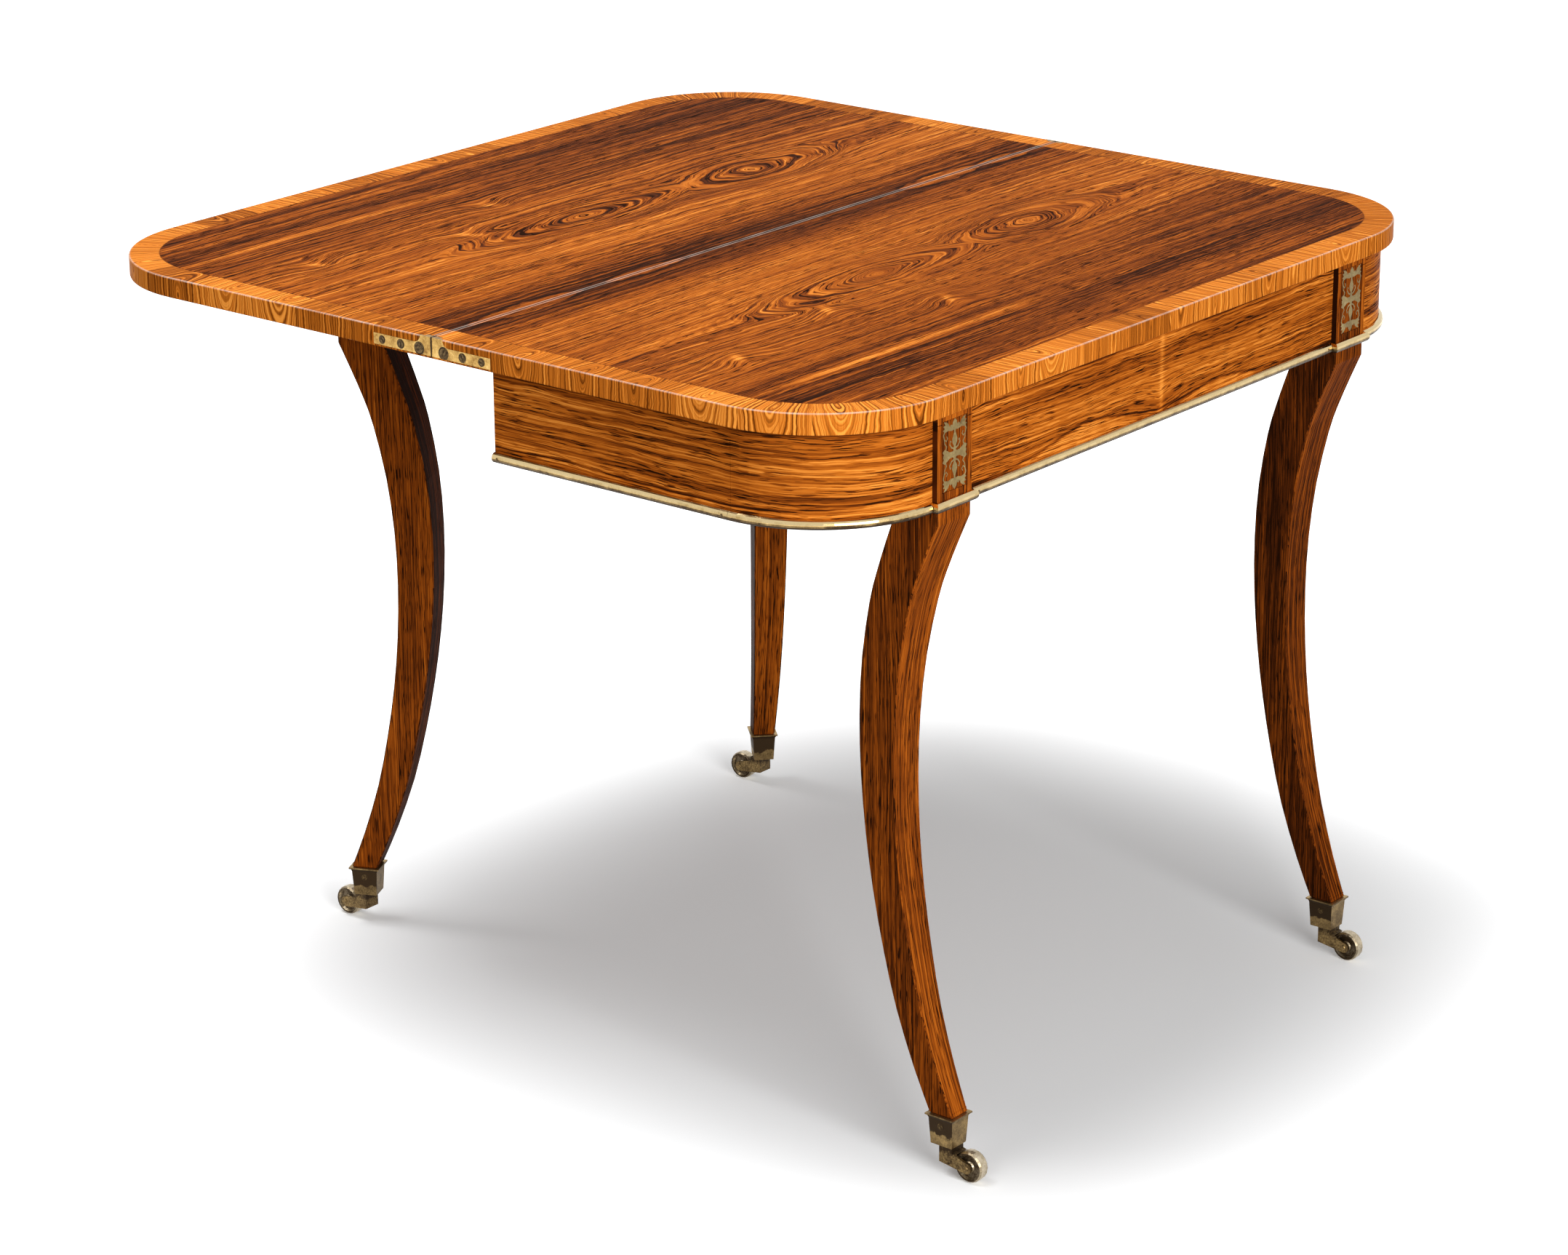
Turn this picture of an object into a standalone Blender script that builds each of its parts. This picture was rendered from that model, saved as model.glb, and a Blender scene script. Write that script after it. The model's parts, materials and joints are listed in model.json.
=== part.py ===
"""A fold-over tea table of about 1815, shown open: rosewood top in two halves on card-table hinges,
a shallow frieze with bowed corners, two fixed sabre legs in front and two on swinging gates behind,
each leg on a brass box castor.

Metres, +Z up. The hinge line of the top runs along X, the fixed half lies on its -Y side, and the
floor is z = 0. The pieces are drawn with the hinge line over the origin and moved together at the end.
"""

import math

import bmesh
import bpy
from mathutils import Matrix

# Overall sizes
TOP_WIDTH = 0.914
HALF_DEPTH = 0.450
TABLE_HEIGHT = 0.712
TOP_THICKNESS = 0.019
CORNER_RADIUS = 0.128

# Joints between touching pieces, and how far a cutter runs past what it cuts
GAP = 0.0003
OVERRUN = 0.004
WELD = 0.00001
FLAT_ANGLE = 1

# Top boards
EDGE_ROUNDING = 0.0012
CORNER_STEPS = 20

# Card-table hinge plates, let into the side edges
PLATE_LENGTH = 0.068
PLATE_THICKNESS = 0.002
PLATE_HEIGHT = 0.017
STRIP_HEIGHT = 0.010
HEAD_LENGTH = 0.013
TAB_LENGTH = 0.009
TAB_REACH = 0.006
NOTCH_STEPS = 5

# Frieze under the fixed half
FRIEZE_SETBACK = 0.011
FRIEZE_BOTTOM_DROP = 0.083
RAIL_THICKNESS = 0.022
SIDE_RAIL_END = 0.061
BACK_RAIL_THICKNESS = 0.018

# Tablets over the front legs, with their brass inlays
TABLET_TO_BOW = 0.0015
TABLET_LAP = 0.0005
TABLET_SETBACK = 0.006
TABLET_THICKNESS = 0.0053
INLAY_WIDTH = 0.033
INLAY_HEIGHT = 0.061
INLAY_THICKNESS = 0.0008
SCROLL_WIDTH = 0.0015
# One quarter of the inlay, as shares of its half width and half height from its middle. Leaves are
# outlines; scrolls are centre lines. Each crosses the middle a little, to meet its mirror image.
LEAF_SHARES = (
    ((-0.06, 0.70), (0.25, 0.67), (0.55, 0.71), (0.80, 0.68), (0.98, 0.75), (0.84, 0.80), (0.96, 0.87),
     (0.78, 0.89), (0.90, 0.99), (0.68, 0.96), (0.52, 0.90), (0.42, 0.80), (0.34, 0.86), (0.20, 0.83),
     (0.16, 0.92), (-0.03, 1.00), (-0.06, 0.95)),
    ((-0.06, -0.04), (0.97, -0.04), (0.90, 0.06), (1.00, 0.15), (0.84, 0.21), (0.62, 0.15), (0.42, 0.09),
     (0.20, 0.08), (-0.06, 0.12)),
    ((-0.06, 0.05), (0.12, 0.06), (0.07, 0.22), (0.18, 0.32), (0.21, 0.42), (0.12, 0.54), (0.06, 0.62),
     (0.07, 0.74), (-0.06, 0.74)),
)
SCROLL_SHARES = (
    ((0.82, 0.72), (0.93, 0.62), (0.86, 0.49), (0.70, 0.43), (0.60, 0.50), (0.68, 0.57)),
    ((0.04, 0.15), (0.27, 0.20), (0.42, 0.30), (0.37, 0.40), (0.27, 0.36)),
    ((0.80, 0.14), (0.68, 0.27), (0.84, 0.38), (0.88, 0.51)),
)

# Half-round brass bead along the foot of the frieze
BEAD_HEIGHT = 0.009
BEAD_PROJECTION = 0.0045
BEAD_SEGMENTS = 4

# Sabre legs
LEG_WIDTH = 0.046
LEG_DEPTH = 0.046
PLINTH_HEIGHT = 0.012
SABRE_DEPTH = 0.0485
LEG_ROUNDING = 0.0010
STATION_STEPS = 2
# Each row: share of the way down from the plinth to the foot, outer face's inset as a share of the
# sweep, then depth and width as shares of those at the top
SABRE_SHARES = (
    (0.000, 0.000, 1.000, 1.000),
    (0.045, 0.222, 0.960, 0.995),
    (0.100, 0.469, 0.922, 0.967),
    (0.150, 0.642, 0.910, 0.928),
    (0.245, 0.857, 0.882, 0.860),
    (0.345, 0.974, 0.839, 0.804),
    (0.445, 1.000, 0.791, 0.767),
    (0.545, 0.950, 0.739, 0.741),
    (0.640, 0.836, 0.694, 0.713),
    (0.738, 0.651, 0.658, 0.674),
    (0.835, 0.408, 0.625, 0.617),
    (0.930, 0.070, 0.585, 0.552),
    (1.000, -0.233, 0.550, 0.498),
)

# Tenons
TENON_THICKNESS = 0.009
TENON_HEIGHT = 0.048
TENON_LENGTH = 0.024

# Swinging gates
PIVOT_X = 0.035
PIVOT_SETBACK = 0.030
LEG_TO_EDGE = 0.007
FLY_RAIL_THICKNESS = 0.022
FLY_RAIL_HEIGHT = 0.067
FLY_RAIL_DROP = 0.0015
LEFT_GATE_AZIMUTH = 115
RIGHT_GATE_AZIMUTH = 47
KNUCKLES = 5
KNUCKLE_CLEARANCE = 0.0005
KNUCKLE_PIN_RADIUS = 0.0025
PIN_CLEARANCE = 0.0003
PIN_PROJECTION = 0.001
KNUCKLE_STEPS = 6
SHOULDER_ANGLE = 43
BLOCK_HALF_WIDTH = 0.022

# Castor sockets
SOCKET_TOP_WIDTH = 0.0240
SOCKET_TOP_DEPTH = 0.0262
SOCKET_BOTTOM_WIDTH = 0.0205
SOCKET_BOTTOM_DEPTH = 0.0228
SOCKET_WALL = 0.0015
SOCKET_FLOOR = 0.0025
SOCKET_HEIGHT = 0.029
LIP_FLARE = 0.0022
LIP_THICKNESS = 0.0014
FLARE_HEIGHT = 0.0030

# Castor forks, axles and wheels
WHEEL_RADIUS = 0.0145
WHEEL_WIDTH = 0.0115
WHEEL_STEPS = 20
TRAIL = 0.0255
REAR_TRAIL_AZIMUTH = 90
SWIVEL_GAP = 0.0005
WHEEL_TOP_ROOM = 0.0005
ARM_THICKNESS = 0.0024
ARM_ROOM = 0.0004
TREAD_ROOM = 0.0006
BOSS_RADIUS = 0.0050
CROWN_BACK = 0.0035
CROWN_FRONT = 0.0100
CROWN_HEIGHT = 0.0155
CROWN_SHOULDER = 0.0045
AXLE_RADIUS = 0.0015
RIVET_RADIUS = 0.0026
RIVET_HEIGHT = 0.0008
PINTLE_RADIUS = 0.00225
PINTLE_HEAD_RADIUS = 0.0040
PINTLE_HEAD_HEIGHT = 0.0014
PINTLE_ROOM = 0.0014
ROUND_STEPS = 16

# Places that follow from the sizes above
JOINT = GAP / 2
UNDERSIDE = TABLE_HEIGHT - TOP_THICKNESS
RAIL_TOP = UNDERSIDE - GAP
FRIEZE_BOTTOM = UNDERSIDE - FRIEZE_BOTTOM_DROP
TABLET_WIDTH = LEG_WIDTH + 2 * TABLET_LAP
TABLET_CENTRE = TOP_WIDTH / 2 - CORNER_RADIUS - TABLET_TO_BOW - TABLET_WIDTH / 2
GATE_REACH = TOP_WIDTH / 2 - LEG_TO_EDGE - PIVOT_X
FRIEZE_Y = -(HALF_DEPTH - FRIEZE_SETBACK)
FRIEZE_X = TOP_WIDTH / 2 - FRIEZE_SETBACK
BOW_RADIUS = CORNER_RADIUS - FRIEZE_SETBACK
BOW_X = TOP_WIDTH / 2 - CORNER_RADIUS
BOW_Y = -(HALF_DEPTH - CORNER_RADIUS)
TABLET_Y = -(HALF_DEPTH - TABLET_SETBACK)
TABLET_MIDDLE = (FRIEZE_BOTTOM + BEAD_HEIGHT + RAIL_TOP) / 2
PLINTH_BOTTOM = FRIEZE_BOTTOM - PLINTH_HEIGHT
SOCKET_BOTTOM = 2 * WHEEL_RADIUS + WHEEL_TOP_ROOM
SOCKET_TOP = SOCKET_BOTTOM + SOCKET_HEIGHT
FOOT_BOTTOM = SOCKET_TOP + GAP
FOOT_INSET = SABRE_DEPTH * SABRE_SHARES[-1][1] + LEG_DEPTH * SABRE_SHARES[-1][2] / 2
FLY_RAIL_TOP = UNDERSIDE - FLY_RAIL_DROP
FLY_RAIL_BOTTOM = FLY_RAIL_TOP - FLY_RAIL_HEIGHT
PIVOT_Y = -PIVOT_SETBACK
FORK_WIDTH = WHEEL_WIDTH + 2 * (ARM_ROOM + ARM_THICKNESS)
FORK_TOP = SOCKET_BOTTOM - SWIVEL_GAP
# The front castors trail past the edge of the top, so the middle of the whole lies this far forward
HINGE_Y = (TRAIL + WHEEL_RADIUS - TABLET_SETBACK - FOOT_INSET) / 2

for old in list(bpy.data.objects):
    bpy.data.objects.remove(old, do_unlink=True)

TABLE = bpy.data.collections.new("tea_table")
bpy.context.scene.collection.children.link(TABLE)


def finish(name, colour, roughness, metallic):
    """A plain material in the piece's own colour."""
    material = bpy.data.materials.new(name)
    material.use_nodes = True
    shader = material.node_tree.nodes["Principled BSDF"]
    shader.inputs["Base Color"].default_value = (*colour, 1)
    shader.inputs["Roughness"].default_value = roughness
    shader.inputs["Metallic"].default_value = metallic
    return material


ROSEWOOD = finish("rosewood", (0.25, 0.09, 0.03), 0.3, 0)
DARK_ROSEWOOD = finish("dark_rosewood", (0.13, 0.04, 0.02), 0.35, 0)
BEECH = finish("beech", (0.42, 0.26, 0.14), 0.6, 0)
BRASS = finish("brass", (0.55, 0.42, 0.18), 0.35, 1)
OLD_BRASS = finish("old_brass", (0.34, 0.25, 0.12), 0.45, 1)
STEEL = finish("steel", (0.30, 0.29, 0.28), 0.45, 1)


def placed(name, mesh, location=(0, 0, 0), rotation=(0, 0, 0)):
    """Link a mesh as an object."""
    thing = bpy.data.objects.new(name, mesh)
    TABLE.objects.link(thing)
    thing.location = location
    thing.rotation_euler = rotation
    return thing


def surfaced(thing, material, carrier=None):
    """Give a finished piece its material, and hang it on what carries it."""
    thing.data.materials.clear()
    thing.data.materials.append(material)
    thing.parent = carrier
    return thing


def smoothed(thing, degrees):
    """Shade a round piece smooth, up to an angle."""
    thing.data.shade_smooth()
    thing.data.set_sharp_from_angle(angle=math.radians(degrees))
    return thing


def baked(thing):
    """Turn a piece's modifiers into its mesh."""
    bpy.context.view_layer.update()
    depsgraph = bpy.context.evaluated_depsgraph_get()
    made = bpy.data.meshes.new_from_object(thing.evaluated_get(depsgraph))
    thing.modifiers.clear()
    thing.data = made
    return thing


def carved(piece, tool, operation="DIFFERENCE"):
    """Cut a tool from a piece, or join it on, and clear the tool away."""
    step = piece.modifiers.new(tool.name, "BOOLEAN")
    step.operation = operation
    step.solver = "EXACT"
    step.object = tool
    baked(piece)
    bpy.data.objects.remove(tool)
    return piece


def joined(piece, addition):
    return carved(piece, addition, "UNION")


def block(name, low, high):
    """A squared block between two corners."""
    size = [top - bottom for bottom, top in zip(low, high)]
    centre = [(top + bottom) / 2 for bottom, top in zip(low, high)]
    form = bmesh.new()
    bmesh.ops.create_cube(form, size=1, matrix=Matrix.Diagonal((*size, 1)))
    mesh = bpy.data.meshes.new(name)
    form.to_mesh(mesh)
    form.free()
    return placed(name, mesh, centre)


def tapered(name, bottom_size, top_size, bottom, top, centre_y=0):
    """A block whose top and bottom rectangles differ, centred over (0, centre_y)."""
    width, depth = bottom_size
    thing = block(name, (-width / 2, -depth / 2, bottom), (width / 2, depth / 2, top))
    for vertex in thing.data.vertices:
        if vertex.co.z > 0:
            vertex.co.x *= top_size[0] / width
            vertex.co.y *= top_size[1] / depth
    thing.location.y = centre_y
    return thing


def prism(name, outline, thickness, location=(0, 0, 0), rotation=(0, 0, 0)):
    """A flat outline with a thickness, half to each side of its plane."""
    curve = bpy.data.curves.new(name, "CURVE")
    curve.dimensions = "2D"
    curve.fill_mode = "BOTH"
    curve.extrude = thickness / 2
    spline = curve.splines.new("POLY")
    spline.points.add(len(outline) - 1)
    for point, (x, y) in zip(spline.points, outline):
        point.co = (x, y, 0, 1)
    spline.use_cyclic_u = True
    drawn = placed(name, curve, location, rotation)
    bpy.context.view_layer.update()
    depsgraph = bpy.context.evaluated_depsgraph_get()
    mesh = bpy.data.meshes.new_from_object(drawn.evaluated_get(depsgraph))
    bpy.data.objects.remove(drawn)
    form = bmesh.new()
    form.from_mesh(mesh)
    bmesh.ops.remove_doubles(form, verts=form.verts, dist=WELD)
    bmesh.ops.dissolve_limit(form, angle_limit=math.radians(FLAT_ANGLE), verts=form.verts, edges=form.edges)
    bmesh.ops.recalc_face_normals(form, faces=form.faces)
    form.to_mesh(mesh)
    form.free()
    return placed(name, mesh, location, rotation)


def upright(name, outline, bottom, top):
    """A prism that stands on a plan outline."""
    return prism(name, outline, top - bottom, (0, 0, (top + bottom) / 2))


def turned(name, profile, steps, closed=False, location=(0, 0, 0), rotation=(0, 0, 0)):
    """A profile of (radius, height) points turned about the local Z axis."""
    mesh = bpy.data.meshes.new(name)
    last = len(profile) - 1
    edges = [(n, n + 1) for n in range(last)] + ([(last, 0)] if closed else [])
    mesh.from_pydata([(radius, 0, height) for radius, height in profile], edges, [])
    thing = placed(name, mesh, location, rotation)
    screw = thing.modifiers.new("turn", "SCREW")
    screw.steps = steps
    screw.render_steps = steps
    screw.use_merge_vertices = True
    screw.merge_threshold = WELD
    return baked(thing)


def pin(name, radius, bottom, top, steps=ROUND_STEPS, location=(0, 0, 0), rotation=(0, 0, 0)):
    """A plain cylinder."""
    return turned(name, [(0, top), (radius, top), (radius, bottom), (0, bottom)], steps, False,
                  location, rotation)


def arc(centre, radius, start, end, steps):
    """Points along an arc; the angles are in degrees."""
    points = []
    for n in range(steps + 1):
        angle = math.radians(start + (end - start) * n / steps)
        points.append((centre[0] + radius * math.cos(angle), centre[1] + radius * math.sin(angle)))
    return points


def plate_outline(growth, overrun):
    """A hinge plate seen from the table's end: distance from the joint, height below the surface."""
    strip_top = STRIP_HEIGHT - PLATE_HEIGHT
    notch = arc((HEAD_LENGTH - strip_top, 0), -strip_top - growth, 270, 180, NOTCH_STEPS)
    return [(JOINT - overrun, -PLATE_HEIGHT - growth), (PLATE_LENGTH + growth, -PLATE_HEIGHT - growth),
            (PLATE_LENGTH + growth, strip_top + growth), *notch, (notch[-1][0], overrun),
            (JOINT - overrun, overrun)]


def hinge_plate(name, side, way, growth=0, overrun=0):
    """One plate with its tab on the surface; way is +1 on the leaf and -1 on the fixed half.

    With some growth and overrun it is the bed that is cut for the plate.
    """
    inner = TOP_WIDTH / 2 - PLATE_THICKNESS - growth
    outer = TOP_WIDTH / 2 + overrun
    outline = [(way * distance, height) for distance, height in plate_outline(growth, overrun)]
    plate = prism(name, outline, outer - inner, (side * (inner + outer) / 2, 0, TABLE_HEIGHT),
                  (math.pi / 2, 0, math.pi / 2))
    reach = TOP_WIDTH / 2 - TAB_REACH - growth
    ends = sorted([way * (JOINT + GAP / 2 - overrun / 2), way * (TAB_LENGTH + growth)])
    sides = sorted([side * reach, side * (TOP_WIDTH - PLATE_THICKNESS) / 2])
    tab = block("tab", (sides[0], ends[0], TABLE_HEIGHT - PLATE_THICKNESS - growth),
                (sides[1], ends[1], TABLE_HEIGHT - GAP / 2 + overrun / 2))
    return joined(plate, tab)


def top_board(name, way):
    """Half of the top: straight at the joint, round at its outer corners, with a bed for each plate."""
    side = TOP_WIDTH / 2
    corner = (side - CORNER_RADIUS, way * (HALF_DEPTH - CORNER_RADIUS))
    right = arc(corner, CORNER_RADIUS, 0, way * 90, CORNER_STEPS)
    left = [(-x, y) for x, y in reversed(right)]
    outline = [(side, way * JOINT), *right, *left, (-side, way * JOINT)]
    board = upright(name, outline, UNDERSIDE, TABLE_HEIGHT)
    form = bmesh.new()
    form.from_mesh(board.data)
    rim = [edge for edge in form.edges
           if abs(edge.verts[0].co.z - edge.verts[1].co.z) < WELD
           and max(abs(vertex.co.y) for vertex in edge.verts) > GAP]
    bmesh.ops.bevel(form, geom=rim, offset=EDGE_ROUNDING, segments=2, profile=0.5, affect="EDGES")
    form.to_mesh(board.data)
    form.free()
    for end in (-1, 1):
        carved(board, hinge_plate("plate_bed", end, way, GAP, OVERRUN))
    return smoothed(board, 35)


def front_rail():
    """The straight front of the frieze, tenoned into the two front legs."""
    end = TABLET_CENTRE - TABLET_WIDTH / 2 - GAP
    rail = block("front_rail", (-end, FRIEZE_Y, FRIEZE_BOTTOM), (end, FRIEZE_Y + RAIL_THICKNESS, RAIL_TOP))
    middle_y = FRIEZE_Y + RAIL_THICKNESS / 2
    middle_z = (FRIEZE_BOTTOM + RAIL_TOP) / 2
    reach = end + TENON_LENGTH
    tongue = block("tenon", (-reach, middle_y - TENON_THICKNESS / 2, middle_z - TENON_HEIGHT / 2),
                   (reach, middle_y + TENON_THICKNESS / 2, middle_z + TENON_HEIGHT / 2))
    return surfaced(joined(rail, tongue), ROSEWOOD)


def corner(name, side):
    """A bowed corner of the frieze, from the leg round to the side rail."""
    start = TABLET_CENTRE + TABLET_WIDTH / 2 + GAP
    outer = arc((BOW_X, BOW_Y), BOW_RADIUS, -90, 0, CORNER_STEPS)
    inner = arc((BOW_X, BOW_Y), BOW_RADIUS - RAIL_THICKNESS, 0, -90, CORNER_STEPS)
    outline = [(start, FRIEZE_Y), *outer, *inner, (start, FRIEZE_Y + RAIL_THICKNESS)]
    bowed = upright(name, [(side * x, y) for x, y in outline], FRIEZE_BOTTOM, RAIL_TOP)
    return surfaced(smoothed(bowed, 35), ROSEWOOD)


def side_rail(name, side):
    """A straight side of the frieze, cut short to leave room for the closed gate."""
    faces = sorted([side * FRIEZE_X, side * (FRIEZE_X - RAIL_THICKNESS)])
    rail = block(name, (faces[0], BOW_Y + GAP, FRIEZE_BOTTOM), (faces[1], -SIDE_RAIL_END, RAIL_TOP))
    return surfaced(rail, ROSEWOOD)


def back_rail():
    """The rail across the back, between the side rails."""
    end = FRIEZE_X - RAIL_THICKNESS - GAP
    front = -SIDE_RAIL_END - BACK_RAIL_THICKNESS
    rail = block("back_rail", (-end, front, FRIEZE_BOTTOM), (end, -SIDE_RAIL_END, RAIL_TOP))
    return surfaced(rail, BEECH)


def bead(name, outer, inner):
    """A half-round strip between two plan lines, round on the outer one."""
    outline = [*outer, *reversed(inner)]
    strip = upright(name, outline, FRIEZE_BOTTOM, FRIEZE_BOTTOM + BEAD_HEIGHT)
    form = bmesh.new()
    form.from_mesh(strip.data)
    on_outer = [vertex for vertex in form.verts
                if min(math.dist(vertex.co.xy, point) for point in outer) < WELD]
    edges = [edge for edge in form.edges if all(vertex in on_outer for vertex in edge.verts)
             and abs(edge.verts[0].co.z - edge.verts[1].co.z) < WELD]
    rounding = min(BEAD_HEIGHT / 2, BEAD_PROJECTION) - GAP
    bmesh.ops.bevel(form, geom=edges, offset=rounding, segments=BEAD_SEGMENTS, profile=0.5, affect="EDGES")
    form.to_mesh(strip.data)
    form.free()
    return surfaced(smoothed(strip, 50), BRASS)


def frieze_beads():
    """Beads along the front rail, round each corner and along each side."""
    end = TABLET_CENTRE - TABLET_WIDTH / 2 - BEAD_PROJECTION - 2 * GAP
    face = FRIEZE_Y - GAP
    bead("bead_front", [(-end, face - BEAD_PROJECTION), (end, face - BEAD_PROJECTION)],
         [(-end, face), (end, face)])
    for label, side in (("left", -1), ("right", 1)):
        start = TABLET_CENTRE + TABLET_WIDTH / 2 + BEAD_PROJECTION + 2 * GAP
        begin = math.degrees(math.asin((start - BOW_X) / BOW_RADIUS)) - 90
        inner = arc((BOW_X, BOW_Y), BOW_RADIUS + GAP, begin, 0, CORNER_STEPS)
        outer = arc((BOW_X, BOW_Y), BOW_RADIUS + GAP + BEAD_PROJECTION, begin, 0, CORNER_STEPS)
        bead("bead_corner_" + label, [(side * x, y) for x, y in outer], [(side * x, y) for x, y in inner])
        back = side * (FRIEZE_X + GAP)
        front = back + side * BEAD_PROJECTION
        bead("bead_side_" + label, [(front, BOW_Y + GAP), (front, -SIDE_RAIL_END)],
             [(back, BOW_Y + GAP), (back, -SIDE_RAIL_END)])


def tablet_bead(name, centre):
    """The bead that breaks forward round the foot of a tablet, with mitred returns."""
    half = TABLET_WIDTH / 2
    back = FRIEZE_Y - GAP
    near = TABLET_Y - GAP
    wide = half + GAP + BEAD_PROJECTION
    outer = [(-wide, back), (-wide, near - BEAD_PROJECTION), (wide, near - BEAD_PROJECTION), (wide, back)]
    inner = [(-half - GAP, back), (-half - GAP, near), (half + GAP, near), (half + GAP, back)]
    return bead(name, [(centre + x, y) for x, y in outer], [(centre + x, y) for x, y in inner])


def tablet(name, centre):
    """The panel that stands proud on the head of a front leg."""
    half = TABLET_WIDTH / 2
    panel = block(name, (centre - half, TABLET_Y, FRIEZE_BOTTOM),
                  (centre + half, TABLET_Y + TABLET_THICKNESS, RAIL_TOP))
    wide = INLAY_WIDTH / 2 + GAP
    high = INLAY_HEIGHT / 2 + GAP
    bed = block("inlay_bed", (centre - wide, TABLET_Y - OVERRUN, TABLET_MIDDLE - high),
                (centre + wide, TABLET_Y + INLAY_THICKNESS + GAP, TABLET_MIDDLE + high))
    return surfaced(carved(panel, bed), ROSEWOOD)


def scroll_outline(centre_line):
    """The outline of a scroll that thins towards its curled end."""
    left = []
    right = []
    last = len(centre_line) - 1
    for n, (x, y) in enumerate(centre_line):
        before = centre_line[max(n - 1, 0)]
        after = centre_line[min(n + 1, last)]
        run = math.dist(before, after)
        half = SCROLL_WIDTH / 2 * (1 - n / last / 2)
        aside = ((before[1] - after[1]) / run * half, (after[0] - before[0]) / run * half)
        left.append((x + aside[0], y + aside[1]))
        right.append((x - aside[0], y - aside[1]))
    return left + right[::-1]


def inlay(name, centre):
    """The pierced brass ornament of leaves and scrolls, let into a tablet."""
    half_width = INLAY_WIDTH / 2
    half_height = INLAY_HEIGHT / 2
    shapes = [[(x * half_width, y * half_height) for x, y in leaf] for leaf in LEAF_SHARES]
    for line in SCROLL_SHARES:
        shapes.append(scroll_outline([(x * half_width, y * half_height) for x, y in line]))
    place = (centre, TABLET_Y + INLAY_THICKNESS / 2, TABLET_MIDDLE)
    plate = None
    for across in (1, -1):
        for up in (1, -1):
            for shape in shapes:
                outline = [(across * x, up * y) for x, y in shape]
                motif = prism("motif", outline, INLAY_THICKNESS, place, (math.pi / 2, 0, 0))
                plate = joined(plate, motif) if plate else motif
    plate.name = name
    return surfaced(plate, BRASS)


def between(before, start, end, after, share):
    """A smooth value between start and end, which bends with the values on either side."""
    return ((2 * start + (end - before) * share
             + (2 * before - 5 * start + 4 * end - after) * share ** 2
             + (3 * start - before - 3 * end + after) * share ** 3) / 2)


def sabre_stations():
    """Height, outer face, inner face and width of the leg at each section, from the plinth down."""
    rows = [SABRE_SHARES[0], *SABRE_SHARES, SABRE_SHARES[-1]]
    shares = []
    for n in range(len(SABRE_SHARES) - 1):
        for step in range(STATION_STEPS):
            shares.append([between(*column, step / STATION_STEPS) for column in zip(*rows[n:n + 4])])
    shares.append(SABRE_SHARES[-1])
    stations = []
    for down, inset, depth, width in shares:
        outer = SABRE_DEPTH * inset
        stations.append((PLINTH_BOTTOM + (FOOT_BOTTOM - PLINTH_BOTTOM) * down, outer,
                         outer + LEG_DEPTH * depth, LEG_WIDTH * width))
    return stations


def sabre_leg(name, head_top):
    """A leg whose outer face stands at y = 0 and looks to -Y: square head, sabre curve, socketed foot."""
    bead_top = FRIEZE_BOTTOM + BEAD_HEIGHT
    stations = [(head_top, 0, LEG_DEPTH, LEG_WIDTH), (bead_top, 0, LEG_DEPTH, LEG_WIDTH), *sabre_stations()]
    form = bmesh.new()
    half = LEG_WIDTH / 2
    bmesh.ops.create_grid(form, x_segments=1, y_segments=1, size=half)
    section = form.faces[:]
    for number, (height, outer, inner, width) in enumerate(stations):
        if number:
            passed = section
            grown = bmesh.ops.extrude_face_region(form, geom=passed)
            section = [item for item in grown["geom"] if isinstance(item, bmesh.types.BMFace)]
            if number > 1:
                bmesh.ops.delete(form, geom=passed, context="FACES_ONLY")
        corners = {vertex for face in section for vertex in face.verts}
        middle = sum(vertex.co.y for vertex in corners) / len(corners)
        for vertex in corners:
            vertex.co.x = math.copysign(width / 2, vertex.co.x)
            vertex.co.y = inner if vertex.co.y > middle else outer
            vertex.co.z = height
    bmesh.ops.recalc_face_normals(form, faces=form.faces)
    mesh = bpy.data.meshes.new(name)
    form.to_mesh(mesh)
    form.free()
    leg = placed(name, mesh)
    rounding = leg.modifiers.new("rounding", "BEVEL")
    rounding.width = LEG_ROUNDING
    rounding.segments = 1
    rounding.limit_method = "ANGLE"
    rounding.angle_limit = math.radians(40)
    baked(leg)
    foot = foot_block("foot", -GAP, FOOT_BOTTOM + OVERRUN)
    leg = joined(leg, foot)
    room = pin("pintle_room", PINTLE_HEAD_RADIUS + PINTLE_ROOM, SOCKET_BOTTOM,
               SOCKET_BOTTOM + SOCKET_FLOOR + PINTLE_HEAD_HEIGHT + 2 * PINTLE_ROOM, ROUND_STEPS,
               (0, FOOT_INSET, 0))
    return carved(leg, room)


def foot_block(name, growth, top):
    """The tapered hollow of the socket, or, drawn in, the end of the leg that fills it."""
    inset = SOCKET_WALL - growth
    fall = SOCKET_TOP - SOCKET_BOTTOM - SOCKET_FLOOR
    rise = (top - SOCKET_BOTTOM - SOCKET_FLOOR) / fall
    narrow = (SOCKET_BOTTOM_WIDTH - 2 * inset, SOCKET_BOTTOM_DEPTH - 2 * inset)
    wide = [small + (large - 2 * inset - small) * rise
            for small, large in zip(narrow, (SOCKET_TOP_WIDTH, SOCKET_TOP_DEPTH))]
    return tapered(name, narrow, wide, SOCKET_BOTTOM + SOCKET_FLOOR - growth, top, FOOT_INSET)


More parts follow.
